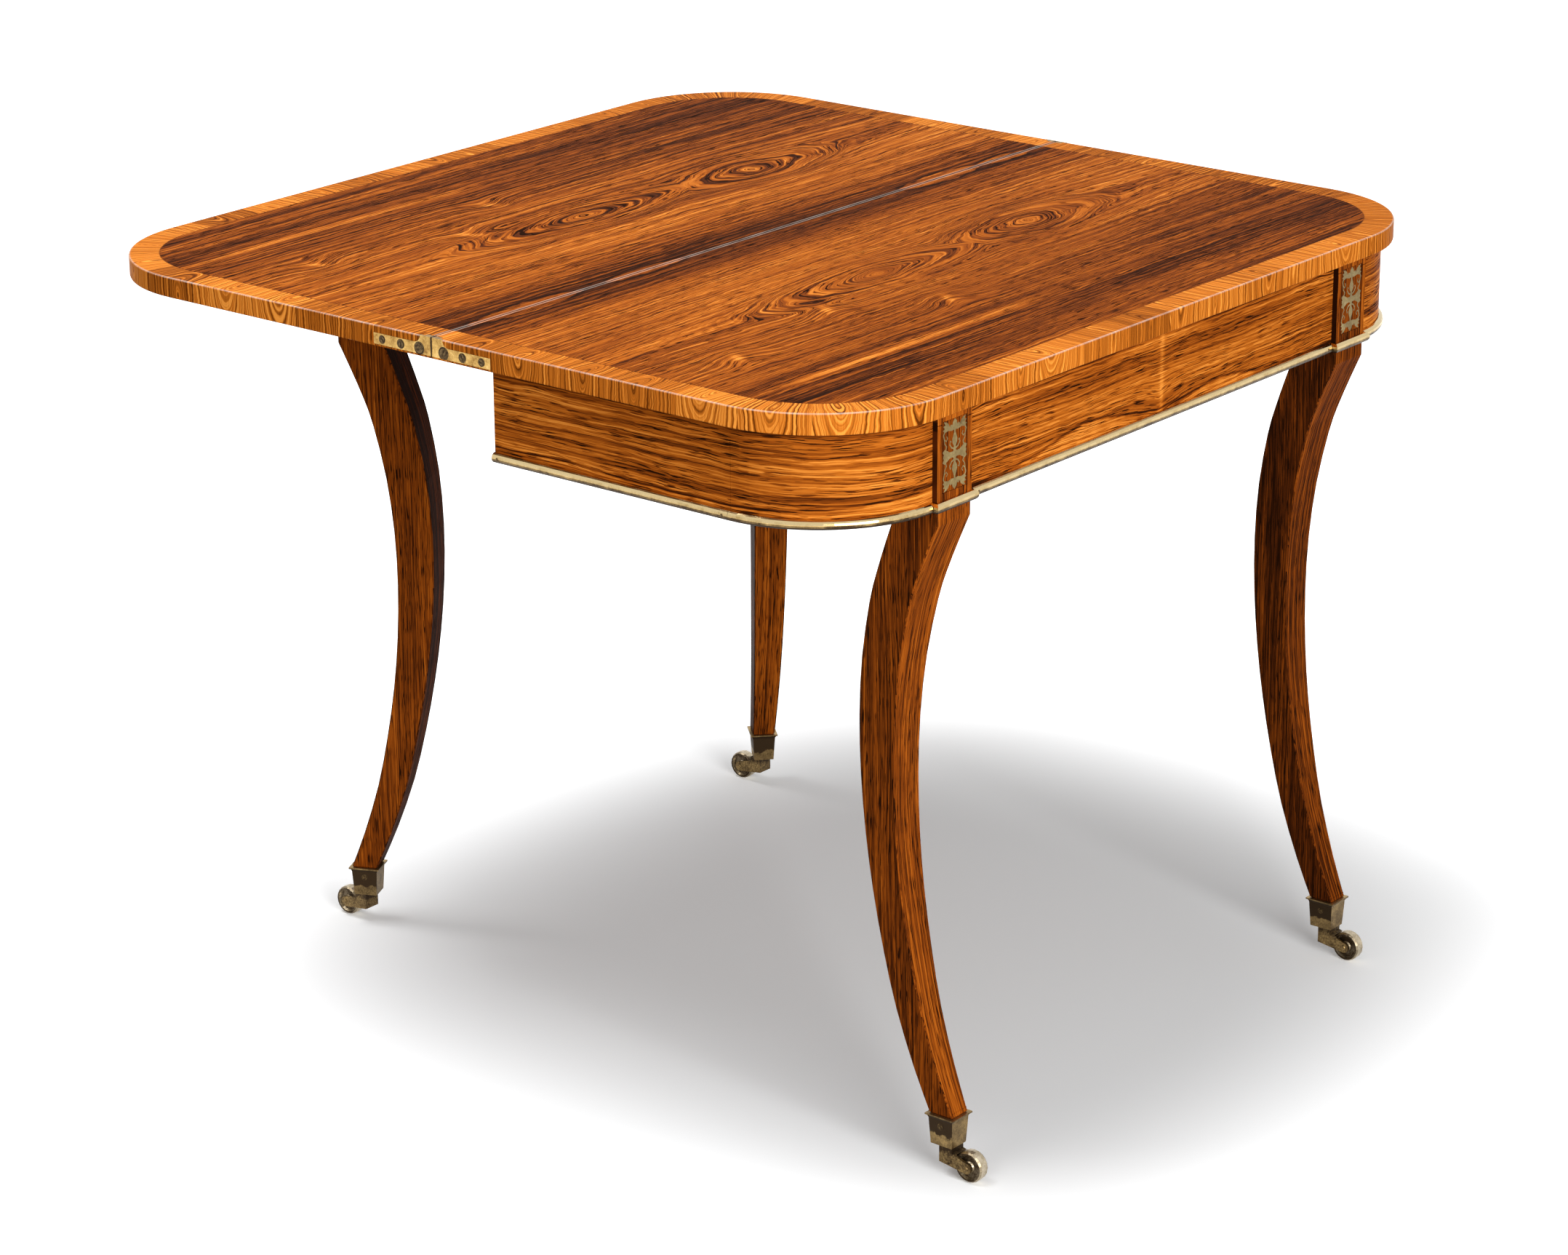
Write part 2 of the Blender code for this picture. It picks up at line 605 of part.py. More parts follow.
def front_leg(name, centre):
    """A fixed leg: its head is rebated for the tablet and mortised for the front rail."""
    leg = sabre_leg(name, RAIL_TOP)
    rebate = block("rebate", (-LEG_WIDTH, -OVERRUN, FRIEZE_BOTTOM - GAP),
                   (LEG_WIDTH, TABLET_THICKNESS + GAP, RAIL_TOP + OVERRUN))
    carved(leg, rebate)
    rail_middle = FRIEZE_Y + RAIL_THICKNESS / 2 - TABLET_Y
    inward = -math.copysign(1, centre)
    mouth = inward * (LEG_WIDTH / 2 + OVERRUN)
    bottom = inward * (TABLET_WIDTH / 2 - TENON_LENGTH - 2 * GAP)
    middle_z = (FRIEZE_BOTTOM + RAIL_TOP) / 2
    ends = sorted([mouth, bottom])
    half_thick = TENON_THICKNESS / 2 + GAP
    half_high = TENON_HEIGHT / 2 + GAP
    mortise = block("mortise", (ends[0], rail_middle - half_thick, middle_z - half_high),
                    (ends[1], rail_middle + half_thick, middle_z + half_high))
    carved(leg, mortise)
    leg.location = (centre, TABLET_Y, 0)
    return surfaced(smoothed(leg, 35), ROSEWOOD)


def shoulder(half_width):
    """How far from the pivot the sloping shoulder meets a face at half_width from the centre line."""
    return half_width / math.tan(math.radians(SHOULDER_ANGLE))


def knuckle_cut(name, bottom, top):
    """Room for the other half's knuckle: a bowl round the pivot between sloping shoulders.

    The pivot is at the origin; the piece that is cut runs away towards -Y.
    """
    radius = FLY_RAIL_THICKNESS / 2 + KNUCKLE_CLEARANCE
    far = FLY_RAIL_THICKNESS / 2 + OVERRUN
    bowl = arc((0, 0), radius, 270 - SHOULDER_ANGLE, 270 + SHOULDER_ANGLE, KNUCKLE_STEPS)
    outline = [(-far, far), (-far, -shoulder(far)), *bowl, (far, -shoulder(far)), (far, far)]
    return upright(name, outline, bottom, top)


def knuckle_heights():
    """Bottom and top of each knuckle, from the lowest up."""
    pitch = FLY_RAIL_HEIGHT / KNUCKLES
    return [(FLY_RAIL_BOTTOM + n * pitch, FLY_RAIL_BOTTOM + (n + 1) * pitch) for n in range(KNUCKLES)]


def knuckle_room(name, number, bottom, top):
    """The cut for one knuckle, run past the rail at its top and bottom."""
    low = bottom - (OVERRUN if number == 0 else GAP)
    high = top + (OVERRUN if number == KNUCKLES - 1 else GAP)
    return knuckle_cut(name, low, high)


def pin_hole(name):
    return pin(name, KNUCKLE_PIN_RADIUS + PIN_CLEARANCE, FLY_RAIL_BOTTOM - OVERRUN, FLY_RAIL_TOP + OVERRUN)


def fly_rail(name, carrier):
    """The arm of a gate, knuckled at the pivot and tenoned into its leg."""
    half = FLY_RAIL_THICKNESS / 2
    end = GATE_REACH - LEG_DEPTH - GAP
    barrel = arc((0, 0), half, SHOULDER_ANGLE - 90, 270 - SHOULDER_ANGLE, 3 * KNUCKLE_STEPS)
    outline = [(-half, -end), (half, -end), (half, -shoulder(half)), *barrel, (-half, -shoulder(half))]
    rail = upright(name, outline, FLY_RAIL_BOTTOM, FLY_RAIL_TOP)
    middle_z = (FLY_RAIL_BOTTOM + FLY_RAIL_TOP) / 2
    tongue = block("tenon", (-TENON_THICKNESS / 2, -end - TENON_LENGTH, middle_z - TENON_HEIGHT / 2),
                   (TENON_THICKNESS / 2, -end + TENON_LENGTH, middle_z + TENON_HEIGHT / 2))
    joined(rail, tongue)
    for number, (bottom, top) in enumerate(knuckle_heights()):
        if number % 2 == 0:
            carved(rail, knuckle_room("knuckle_room", number, bottom, top))
    carved(rail, pin_hole("pin_hole"))
    return surfaced(smoothed(rail, 35), BEECH, carrier)


def knuckle_block():
    """The fixed middle of the gates, on the back rail, knuckled at both ends."""
    half = FLY_RAIL_THICKNESS / 2
    root = PIVOT_X - shoulder(half)
    barrel = arc((PIVOT_X, PIVOT_Y), half, SHOULDER_ANGLE - 180, 180 - SHOULDER_ANGLE, 3 * KNUCKLE_STEPS)
    right = [(root, PIVOT_Y - half), *barrel, (root, PIVOT_Y + half)]
    left = [(-x, y) for x, y in reversed(right)]
    body = upright("knuckle_block", [*right, *left], FLY_RAIL_BOTTOM, FLY_RAIL_TOP)
    spacer = block("spacer", (-BLOCK_HALF_WIDTH, -SIDE_RAIL_END + GAP, FLY_RAIL_BOTTOM),
                   (BLOCK_HALF_WIDTH, PIVOT_Y, FLY_RAIL_TOP))
    joined(body, spacer)
    for side in (-1, 1):
        for number, (bottom, top) in enumerate(knuckle_heights()):
            if number % 2 == 1:
                room = knuckle_room("knuckle_room", number, bottom, top)
                room.location.x = side * PIVOT_X
                room.location.y = PIVOT_Y
                room.rotation_euler.z = -side * math.pi / 2
                carved(body, room)
        hole = pin_hole("pin_hole")
        hole.location = (side * PIVOT_X, PIVOT_Y, 0)
        carved(body, hole)
    return surfaced(smoothed(body, 35), BEECH)


def rear_leg(name, carrier):
    """A gate leg: its square head stands up to the leaf and is mortised for the fly rail."""
    leg = sabre_leg(name, RAIL_TOP)
    middle_z = (FLY_RAIL_BOTTOM + FLY_RAIL_TOP) / 2
    mortise = block("mortise", (-TENON_THICKNESS / 2 - GAP, LEG_DEPTH - TENON_LENGTH - GAP,
                                middle_z - TENON_HEIGHT / 2 - GAP),
                    (TENON_THICKNESS / 2 + GAP, LEG_DEPTH + OVERRUN, middle_z + TENON_HEIGHT / 2 + GAP))
    carved(leg, mortise)
    leg.location = (0, -GATE_REACH, 0)
    return surfaced(smoothed(leg, 35), DARK_ROSEWOOD, carrier)


def socket(name):
    """The brass box on a leg's foot, with its flared lip; placed as the leg is."""
    body = tapered(name, (SOCKET_BOTTOM_WIDTH, SOCKET_BOTTOM_DEPTH), (SOCKET_TOP_WIDTH, SOCKET_TOP_DEPTH),
                   SOCKET_BOTTOM, SOCKET_TOP, FOOT_INSET)
    rim = (SOCKET_TOP_WIDTH + 2 * LIP_FLARE, SOCKET_TOP_DEPTH + 2 * LIP_FLARE)
    lip_bottom = SOCKET_TOP - LIP_THICKNESS
    joined(body, tapered("lip", rim, rim, lip_bottom, SOCKET_TOP, FOOT_INSET))
    flare_bottom = (SOCKET_TOP_WIDTH - 2 * GAP, SOCKET_TOP_DEPTH - 2 * GAP)
    flare_top = (SOCKET_TOP_WIDTH + LIP_FLARE, SOCKET_TOP_DEPTH + LIP_FLARE)
    joined(body, tapered("flare", flare_bottom, flare_top, lip_bottom - FLARE_HEIGHT, lip_bottom + GAP,
                         FOOT_INSET))
    carved(body, foot_block("hollow", 0, SOCKET_TOP + OVERRUN))
    hole = pin("pintle_hole", PINTLE_RADIUS + PIN_CLEARANCE, SOCKET_BOTTOM - OVERRUN,
               SOCKET_BOTTOM + SOCKET_FLOOR + OVERRUN, ROUND_STEPS, (0, FOOT_INSET, 0))
    return carved(body, hole)


def fork(name, carrier):
    """The swivelling fork: crown under the socket, pintle up through it, two arms down to the axle."""
    nose = arc((-TRAIL, WHEEL_RADIUS), BOSS_RADIUS, -80, -270, 2 * KNUCKLE_STEPS)
    outline = [(CROWN_BACK, FORK_TOP), (CROWN_BACK, FORK_TOP - CROWN_HEIGHT), *nose,
               (-CROWN_FRONT, FORK_TOP - CROWN_SHOULDER), (-CROWN_FRONT, FORK_TOP)]
    body = prism(name, outline, FORK_WIDTH, (0, 0, 0), (math.pi / 2, 0, math.pi / 2))
    across = (WHEEL_WIDTH + 2 * ARM_ROOM) / 2
    room = pin("wheel_room", WHEEL_RADIUS + TREAD_ROOM, -across, across, WHEEL_STEPS + ROUND_STEPS,
               (0, -TRAIL, WHEEL_RADIUS), (0, math.pi / 2, 0))
    carved(body, room)
    hole = pin("axle_hole", AXLE_RADIUS + PIN_CLEARANCE, -FORK_WIDTH, FORK_WIDTH, ROUND_STEPS,
               (0, -TRAIL, WHEEL_RADIUS), (0, math.pi / 2, 0))
    carved(body, hole)
    seat = SOCKET_BOTTOM + SOCKET_FLOOR + GAP
    stem = [(0, seat + PINTLE_HEAD_HEIGHT), (PINTLE_HEAD_RADIUS, seat + PINTLE_HEAD_HEIGHT),
            (PINTLE_HEAD_RADIUS, seat), (PINTLE_RADIUS, seat), (PINTLE_RADIUS, FORK_TOP - PINTLE_RADIUS),
            (0, FORK_TOP - PINTLE_RADIUS)]
    joined(body, turned("pintle", stem, ROUND_STEPS))
    return surfaced(smoothed(body, 35), OLD_BRASS, carrier)


def axle(name, carrier):
    """The riveted pin through the fork and the wheel."""
    shoulder = FORK_WIDTH / 2 + GAP
    end = shoulder + RIVET_HEIGHT
    upper = [(0, end), (RIVET_RADIUS - RIVET_HEIGHT, end), (RIVET_RADIUS, shoulder), (AXLE_RADIUS, shoulder)]
    profile = [*upper, *[(radius, -height) for radius, height in reversed(upper)]]
    thing = turned(name, profile, ROUND_STEPS, False, (0, -TRAIL, WHEEL_RADIUS), (0, math.pi / 2, 0))
    return surfaced(smoothed(thing, 35), OLD_BRASS, carrier)


def wheel(name, carrier):
    """A turned brass roller with dished sides; its origin is on the axle."""
    bore = AXLE_RADIUS + PIN_CLEARANCE
    # Radius and half-width shares from the bore out over one side to the middle of the tread
    shares = ((0.32, 0.86), (0.38, 0.62), (0.70, 0.58), (0.78, 0.98), (0.90, 1.00), (0.98, 0.70))
    upper = [(bore, WHEEL_WIDTH / 2 * shares[0][1])]
    upper += [(WHEEL_RADIUS * radius, WHEEL_WIDTH / 2 * width) for radius, width in shares]
    lower = [(radius, -height) for radius, height in reversed(upper)]
    profile = [*upper, (WHEEL_RADIUS, 0), *lower]
    thing = turned(name, profile, WHEEL_STEPS, True, (0, -TRAIL, WHEEL_RADIUS), (0, math.pi / 2, 0))
    return surfaced(smoothed(thing, 35), OLD_BRASS, carrier)


def empty(name, location, rotation=0, carrier=None):
    """A pivot that carries the pieces that turn about it."""
    pivot = bpy.data.objects.new(name, None)
    TABLE.objects.link(pivot)
    pivot.location = location
    pivot.rotation_euler.z = rotation
    pivot.parent = carrier
    return pivot


def castor(label, foot, carrier=None, turn=0):
    """Socket, fork, axle and wheel under the foot of a leg whose outer face is at the place given.

    The wheel trails on that face's side, or turned from it by some degrees.
    """
    box = socket("socket_" + label)
    box.location.x += foot[0]
    box.location.y += foot[1]
    surfaced(smoothed(box, 35), BRASS, carrier)
    swivel = empty("swivel_" + label, (foot[0], foot[1] + FOOT_INSET, 0), math.radians(turn), carrier)
    fork("fork_" + label, swivel)
    axle("axle_" + label, swivel)
    wheel("wheel_" + label, swivel)


def gate(label, side, azimuth):
    """A swinging gate: fly rail and leg on a steel pin, with the leg's castor."""
    place = (side * PIVOT_X, PIVOT_Y, 0)
    pivot = empty("gate_" + label, place, math.radians(azimuth + 90))
    fly_rail("fly_rail_" + label, pivot)
    rear_leg("rear_leg_" + label, pivot)
    castor("rear_" + label, (0, -GATE_REACH), pivot, REAR_TRAIL_AZIMUTH - azimuth)
    steel = pin("knuckle_pin_" + label, KNUCKLE_PIN_RADIUS, FLY_RAIL_BOTTOM - PIN_PROJECTION, FLY_RAIL_TOP)
    steel.location = place
    surfaced(smoothed(steel, 35), STEEL)


surfaced(top_board("fixed_top", -1), ROSEWOOD)
surfaced(top_board("leaf_top", 1), ROSEWOOD)
for label, side in (("left", -1), ("right", 1)):
    surfaced(hinge_plate("hinge_fixed_" + label, side, -1), BRASS)
    surfaced(hinge_plate("hinge_leaf_" + label, side, 1), BRASS)
    corner("corner_" + label, side)
    side_rail("side_rail_" + label, side)
    tablet("tablet_" + label, side * TABLET_CENTRE)
    inlay("inlay_" + label, side * TABLET_CENTRE)
    tablet_bead("bead_tablet_" + label, side * TABLET_CENTRE)
    front_leg("front_leg_" + label, side * TABLET_CENTRE)
    castor("front_" + label, (side * TABLET_CENTRE, TABLET_Y))
front_rail()
back_rail()
frieze_beads()
knuckle_block()
gate("left", -1, LEFT_GATE_AZIMUTH)
gate("right", 1, RIGHT_GATE_AZIMUTH)
for thing in TABLE.objects:
    if thing.parent is None:
        thing.location.y += HINGE_Y
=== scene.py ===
"""The looks of a fold-over rosewood tea table, about 1815: veneers, crossbanding, inlays and aged brass."""

import json
import math

import bmesh
import bpy
from mathutils import Matrix, Vector


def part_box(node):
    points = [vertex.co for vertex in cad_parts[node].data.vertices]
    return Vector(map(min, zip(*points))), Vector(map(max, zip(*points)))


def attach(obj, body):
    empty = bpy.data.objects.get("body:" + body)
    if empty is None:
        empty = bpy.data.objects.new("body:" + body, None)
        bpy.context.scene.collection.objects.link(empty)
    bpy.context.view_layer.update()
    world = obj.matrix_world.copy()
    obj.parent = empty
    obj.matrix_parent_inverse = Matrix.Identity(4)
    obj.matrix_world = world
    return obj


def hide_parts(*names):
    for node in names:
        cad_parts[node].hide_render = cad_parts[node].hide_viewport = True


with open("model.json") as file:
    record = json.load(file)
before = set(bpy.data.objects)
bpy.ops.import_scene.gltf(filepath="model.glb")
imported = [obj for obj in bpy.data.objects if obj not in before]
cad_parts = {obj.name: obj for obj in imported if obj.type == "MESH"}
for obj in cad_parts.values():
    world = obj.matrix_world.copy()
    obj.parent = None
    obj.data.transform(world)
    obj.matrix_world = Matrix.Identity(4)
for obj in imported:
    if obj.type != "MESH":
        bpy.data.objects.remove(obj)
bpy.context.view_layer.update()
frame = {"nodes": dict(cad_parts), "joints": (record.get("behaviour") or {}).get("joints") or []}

# The camera: a long lens about four metres away, off the table's left front corner and looking down on
# the top. Its place and angles are those at which the photograph was taken.
PHOTO_WIDTH = 2156
FOCAL_PIXELS = 6171.2
SENSOR_WIDTH = 36
CAMERA_PLACE = (-3.1329, -2.5418, 1.7538)
CAMERA_AZIMUTH = math.radians(-50.935)
CAMERA_ELEVATION = math.radians(19.489)
CAMERA_ROLL = math.radians(-0.330)

camera_data = bpy.data.cameras.new("camera")
camera_data.sensor_width = SENSOR_WIDTH
camera_data.lens = FOCAL_PIXELS / PHOTO_WIDTH * SENSOR_WIDTH
camera_data.clip_end = 100
camera = bpy.data.objects.new("camera", camera_data)
camera.matrix_world = (Matrix.Translation(CAMERA_PLACE) @ Matrix.Rotation(CAMERA_AZIMUTH, 4, "Z")
                       @ Matrix.Rotation(math.pi / 2 - CAMERA_ELEVATION, 4, "X")
                       @ Matrix.Rotation(CAMERA_ROLL, 4, "Z"))
bpy.context.scene.collection.objects.link(camera)
bpy.context.scene.camera = camera
bpy.context.scene.view_settings.view_transform = "Standard"

# The studio: a pale paper floor that keeps the table's shadow and runs out to white, a broad soft light
# overhead and a lower one on the camera's side. The lens, gloss and glass see white all round; the light
# that the room and the floor throw on the table is much weaker.
FLOOR_SIDE = 60
FLOOR_DROP = 0.0004
WHITE = (1, 1, 1, 1)
PALE_FLOOR = (0.935, 0.95, 0.96, 1)
DIM_FLOOR = (0.45, 0.45, 0.45, 1)
ROOM_LIGHT = 0.25
# The floor glows a little below the table and fully beyond its shadow
FLOOR_GLOW = 0.07
GLOW_CENTRE = (-0.02, -0.06, 0)
GLOW_START, GLOW_END = 0.36, 1.08
TABLE_MIDDLE = Vector((0, 0, 0.5))


class Value:
    """A socket of a material's nodes, with which shader maths reads as plain arithmetic."""

    def __init__(self, tree, socket=None):
        self.tree = tree
        self.socket = socket

    def node(self, kind, settings, inputs, output=0):
        """Any other node: its type, what is set on it first, and what goes into its sockets."""
        made = self.tree.nodes.new("ShaderNode" + kind)
        for key, setting in settings.items():
            if key == "stops":
                elements = made.color_ramp.elements
                while len(elements) < len(setting):
                    elements.new(0)
                for element, (position, colour) in zip(elements, setting):
                    element.position = position
                    element.color = (*colour, 1)
            else:
                setattr(made, key, setting)
        for key, given in inputs.items():
            if isinstance(given, Value):
                self.tree.links.new(given.socket, made.inputs[key])
            else:
                made.inputs[key].default_value = given
        return Value(self.tree, made.outputs[output])

    def maths(self, operation, *others):
        return self.node("Math", {"operation": operation}, dict(enumerate((self, *others))))

    def __add__(self, other):
        return self.maths("ADD", other)

    def __sub__(self, other):
        return self.maths("SUBTRACT", other)

    def __rsub__(self, other):
        return self.node("Math", {"operation": "SUBTRACT"}, {0: other, 1: self})

    def __mul__(self, other):
        return self.maths("MULTIPLY", other)

    def __truediv__(self, other):
        return self.maths("DIVIDE", other)

    def __rtruediv__(self, other):
        return self.node("Math", {"operation": "DIVIDE"}, {0: other, 1: self})

    def __pow__(self, other):
        return self.maths("POWER", other)

    def __abs__(self):
        return self.maths("ABSOLUTE")

    __radd__ = __add__
    __rmul__ = __mul__


def rise(value, low, high):
    """0 below low, 1 above high and smooth between; it falls instead where low is the larger."""
    return value.node("MapRange", {"interpolation_type": "SMOOTHSTEP"},
                      {"Value": value, "From Min": low, "From Max": high})


def mixed(factor, colour_a, colour_b):
    """The first colour where the factor is 0, the second where it is 1."""
    settings = {"data_type": "RGBA", "clamp_factor": True}
    return factor.node("Mix", settings, {"Factor": factor, 6: colour_a, 7: colour_b}, 2)


def seen_directly(tree):
    """1 where a ray from the camera, or one that gloss or glass turns, meets the surface."""
    camera_ray = Value(tree).node("LightPath", {}, {})
    outputs = camera_ray.socket.node.outputs
    turned_ray = Value(tree, outputs["Is Glossy Ray"]).maths(
        "MAXIMUM", Value(tree, outputs["Is Transmission Ray"]))
    return camera_ray.maths("MAXIMUM", turned_ray)


def new_finish(name, roughness, metallic=0.0, specular=0.5):
    """A material with its fixed values set, and its shader."""
    material = bpy.data.materials.new(name)
    material.use_nodes = True
    shader = material.node_tree.nodes["Principled BSDF"]
    shader.inputs["Roughness"].default_value = roughness
    shader.inputs["Metallic"].default_value = metallic
    shader.inputs["Specular IOR Level"].default_value = specular
    return material, shader


def wire(shader, **links):
    """Join values to a shader's sockets; an underscore in a name stands for a space."""
    for key, value in links.items():
        value.tree.links.new(value.socket, shader.inputs[key.replace("_", " ")])


def linked(name, form, place=(0, 0, 0)):
    """A new piece made from a finished bmesh."""
    mesh = bpy.data.meshes.new(name)
    form.to_mesh(mesh)
    form.free()
    thing = bpy.data.objects.new(name, mesh)
    bpy.context.scene.collection.objects.link(thing)
    thing.location = place
    return thing


def paper_finish():
    """Matt paper that keeps the shadow and shines by itself where it runs out to white."""
    paper, shader = new_finish("paper_floor", 0.9, specular=0.0)
    seen = seen_directly(paper.node_tree)
    wire(shader, Base_Color=mixed(seen, DIM_FLOOR, PALE_FLOOR))
    place = seen.node("TexCoord", {}, {}, "Object")
    reach = seen.node("VectorMath", {"operation": "DISTANCE"}, {0: place, 1: GLOW_CENTRE}, "Value")
    strength = seen * (rise(reach, GLOW_START, GLOW_END) * (1 - FLOOR_GLOW) + FLOOR_GLOW)
    glow = seen.node("Emission", {}, {"Color": WHITE, "Strength": strength})
    both = seen.node("AddShader", {}, {0: Value(paper.node_tree, shader.outputs[0]), 1: glow})
    wire(paper.node_tree.nodes["Material Output"], Surface=both)
    return paper


floor_form = bmesh.new()
bmesh.ops.create_grid(floor_form, x_segments=1, y_segments=1, size=FLOOR_SIDE / 2)
floor = linked("floor", floor_form, (0, 0, -FLOOR_DROP))
floor.data.materials.append(paper_finish())

room = bpy.data.worlds.new("room")
room.use_nodes = True
bpy.context.scene.world = room
room_light = room.node_tree.nodes["Background"]
room_light.inputs["Color"].default_value = WHITE
wire(room_light, Strength=seen_directly(room.node_tree) * (1 - ROOM_LIGHT) + ROOM_LIGHT)


def soft_light(name, place, side, watts):
    """A square soft light that faces the middle of the table."""
    lamp = bpy.data.lights.new(name, "AREA")
    lamp.shape = "SQUARE"
    lamp.size = side
    lamp.energy = watts
    stand = bpy.data.objects.new(name, lamp)
    stand.location = place
    stand.rotation_euler = (Vector(place) - TABLE_MIDDLE).to_track_quat("Z", "Y").to_euler()
    bpy.context.scene.collection.objects.link(stand)


soft_light("overhead_light", (-0.85, 0.80, 4.4), 2.0, 168)
soft_light("camera_side_light", (-1.7, -3.4, 1.5), 2.0, 132)

# The frieze: pine rails faced with rosewood veneer, its grain along the rail. On the front two leaves
# meet at the middle, where the lines dip to a lighter stripe; low down a dark line wanders over a paler
# foot. Round the corners the veneer of the sides goes on.
INK = (0.018, 0.005, 0.0015)
DARK = (0.090, 0.019, 0.003)
BROWN = (0.280, 0.061, 0.005)
ORANGE = (0.500, 0.130, 0.011)
GOLD = (0.850, 0.295, 0.042)
# How much the French polish mirrors, and how deep the pores lie in it
POLISH = 0.002
PORE_DEPTH = 0.00004
# Growth lines in a metre across the grain
GROWTH_LINES = 420
HINGE_Y = (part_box("fixed_top")[1].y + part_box("leaf_top")[0].y) / 2
FRIEZE_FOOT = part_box("front_rail")[0].z
FRIEZE_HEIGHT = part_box("front_rail")[1].z - FRIEZE_FOOT
CORNER_LOW, CORNER_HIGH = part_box("corner_right")
BOW_RADIUS = CORNER_HIGH.y - CORNER_LOW.y
BOW_X, BOW_Y = CORNER_HIGH.x - BOW_RADIUS, CORNER_HIGH.y - HINGE_Y
DARK_LINE_WIDTH = 0.0016
# Painted shade lies deepest right under the top, and the veneer is darker along the bead
TOP_SHADE_START, TOP_SHADE_FULL = FRIEZE_HEIGHT - 0.0060, FRIEZE_HEIGHT - 0.0015
BEAD_DARK_HEIGHT = 0.0018
# Height of the dark line at the ends of the front, and on the sides and corners
FRONT_LINE, SIDE_LINE = 0.0095, 0.0125


def coordinates(material):
    """X, Y and Z of a point on a table piece at rest, in metres; Y is counted from the hinge line."""
    place = Value(material.node_tree).node("TexCoord", {}, {}, "Object")
    split = place.node("SeparateXYZ", {}, {0: place}).socket.node
    x, y, z = [Value(material.node_tree, output) for output in split.outputs]
    return x, y - HINGE_Y, z


def facing(material):
    """X, Y and Z of the surface's own direction at rest."""
    normal = Value(material.node_tree).node("TexCoord", {}, {}, "Normal")
    split = normal.node("SeparateXYZ", {}, {0: normal}).socket.node
    return [Value(material.node_tree, output) for output in split.outputs]


def noise(along, across, third=0.0, detail=3.0, roughness=0.55):
    """Smooth noise from 0 to 1 on two or three coordinates."""
    place = along.node("CombineXYZ", {}, {0: along, 1: across, 2: third})
    return along.node("TexNoise", {},
                      {"Vector": place, "Scale": 1.0, "Detail": detail, "Roughness": roughness})


def ramp(value, *stops):
    """Colours by value, each stop a position and a colour."""
    return value.node("ValToRGB", {"stops": stops}, {"Fac": value})


def bell(value, centre, width):
    """1 at the centre, falling smoothly away on both sides."""
    return (((value - centre) / width) ** 2 * -1).maths("EXPONENT")


def rosewood(along, across, lightness, seed, line_count, line_depth, pore_strength):
    """Colour, tone and pores of rosewood: growth lines, slow changes of tone and short dark dashes.

    Both coordinates are in metres; lightness is the tone without lines, 0 to 1.
    """
    growth = noise(along * 1.5, across * line_count, seed, 3.0, 0.6)
    slow = noise(along * 3.2, across * 42, seed, 3.0)
    thread = noise(along * 16, across * 700, seed, 2.0)
    dash = rise(noise(along * 52, across * 1150, seed, 1.0, 0.4), 0.55, 0.63)
    patchy = rise(noise(along * 9, across * 60, seed + 5, 2.0), 0.35, 0.62)
    pore = dash * (patchy * 0.7 + 0.3)
    tone = lightness + (growth - 0.5) * line_depth + (slow - 0.5) * 0.55 + (thread - 0.5) * 0.85
    tone = tone - pore * pore_strength
    colour = ramp(tone, (0.0, INK), (0.20, DARK), (0.45, BROWN), (0.70, ORANGE), (1.0, GOLD))
    return colour, tone, pore


def polished(material, shader, colour, tone, pore):
    """French polish over the wood: pores and dark lines a little duller and lower."""
    height = (1 - pore) * 0.7 + tone * 0.3
    bump = tone.node("Bump", {}, {"Height": height, "Distance": PORE_DEPTH, "Strength": 0.6})
    wire(shader, Base_Color=colour, Roughness=0.36 - tone * 0.08 + pore * 0.15, Normal=bump)
    return material


def put_on(material, *nodes):
    """Give CAD pieces a finish."""
    for name in nodes:
        slots = frame["nodes"][name].data.materials
        slots.clear()
        slots.append(material)


def frieze_veneer(name, figure, seed, base):
    """Frieze veneer; figure gives the distance along the rail, the dip of the lines, the height of the
    dark line over the foot and a lighter stripe."""
    material, shader = new_finish(name, 0.35, specular=POLISH)
    x, y, z = coordinates(material)
    along, dip, line_height, stripe = figure(x, y)
    height = z - FRIEZE_FOOT
    waves = (noise(along * 6, height * 18, seed, 2.0) - 0.5) * 0.012
    swirl = (noise(along * 28, height * 60, seed + 3, 2.0) - 0.5) * 0.0030
    across = height + dip * rise(height, 0.050, 0.004) + waves + swirl
    jitter = (noise(along * 60, height * 10, seed + 7, 2.0) - 0.5) * 0.003
    over = height - line_height + swirl * 1.2 + jitter
    dark_line = bell(over, 0.0, DARK_LINE_WIDTH) * 0.42 + bell(over, 0.006, 0.006) * 0.10
    foot = rise(over, 0.0008, -0.0010)
    broad = noise(along * 4, across * 30, seed + 9, 2.0)
    # Painted shade right under the top, and darker veneer along the bead
    top_shade_and_bead_dark = rise(height, TOP_SHADE_START, TOP_SHADE_FULL) * 0.40 + rise(height, BEAD_DARK_HEIGHT, 0.0) * 0.25
    lightness = base + (broad - 0.5) * 0.50 - dark_line + foot * 0.17 + stripe * 0.24 - top_shade_and_bead_dark
    colour, tone, pore = rosewood(along, across, lightness, seed, GROWTH_LINES, 1.9, 0.62)
    return polished(material, shader, colour, tone, pore)


def front_figure(x, y):
    reach = abs(x)
    dip = (reach * -15).maths("EXPONENT") * 0.012
    line_height = FRONT_LINE + bell(x, 0.095, 0.055) * 0.0090 + bell(x, -0.105, 0.070) * 0.0155
    return reach, dip, line_height, bell(x, 0.004, 0.0035)


def side_figure(x, y):
    return y * -1, 0.0, SIDE_LINE + bell(y, -0.150, 0.050) * 0.0035, 0.0


def corner_figure(x, y):
    turned = (y - BOW_Y).maths("ARCTAN2", abs(x) - BOW_X) * -BOW_RADIUS
    return turned - BOW_Y, 0.0, turned * 0.055 + SIDE_LINE, 0.0


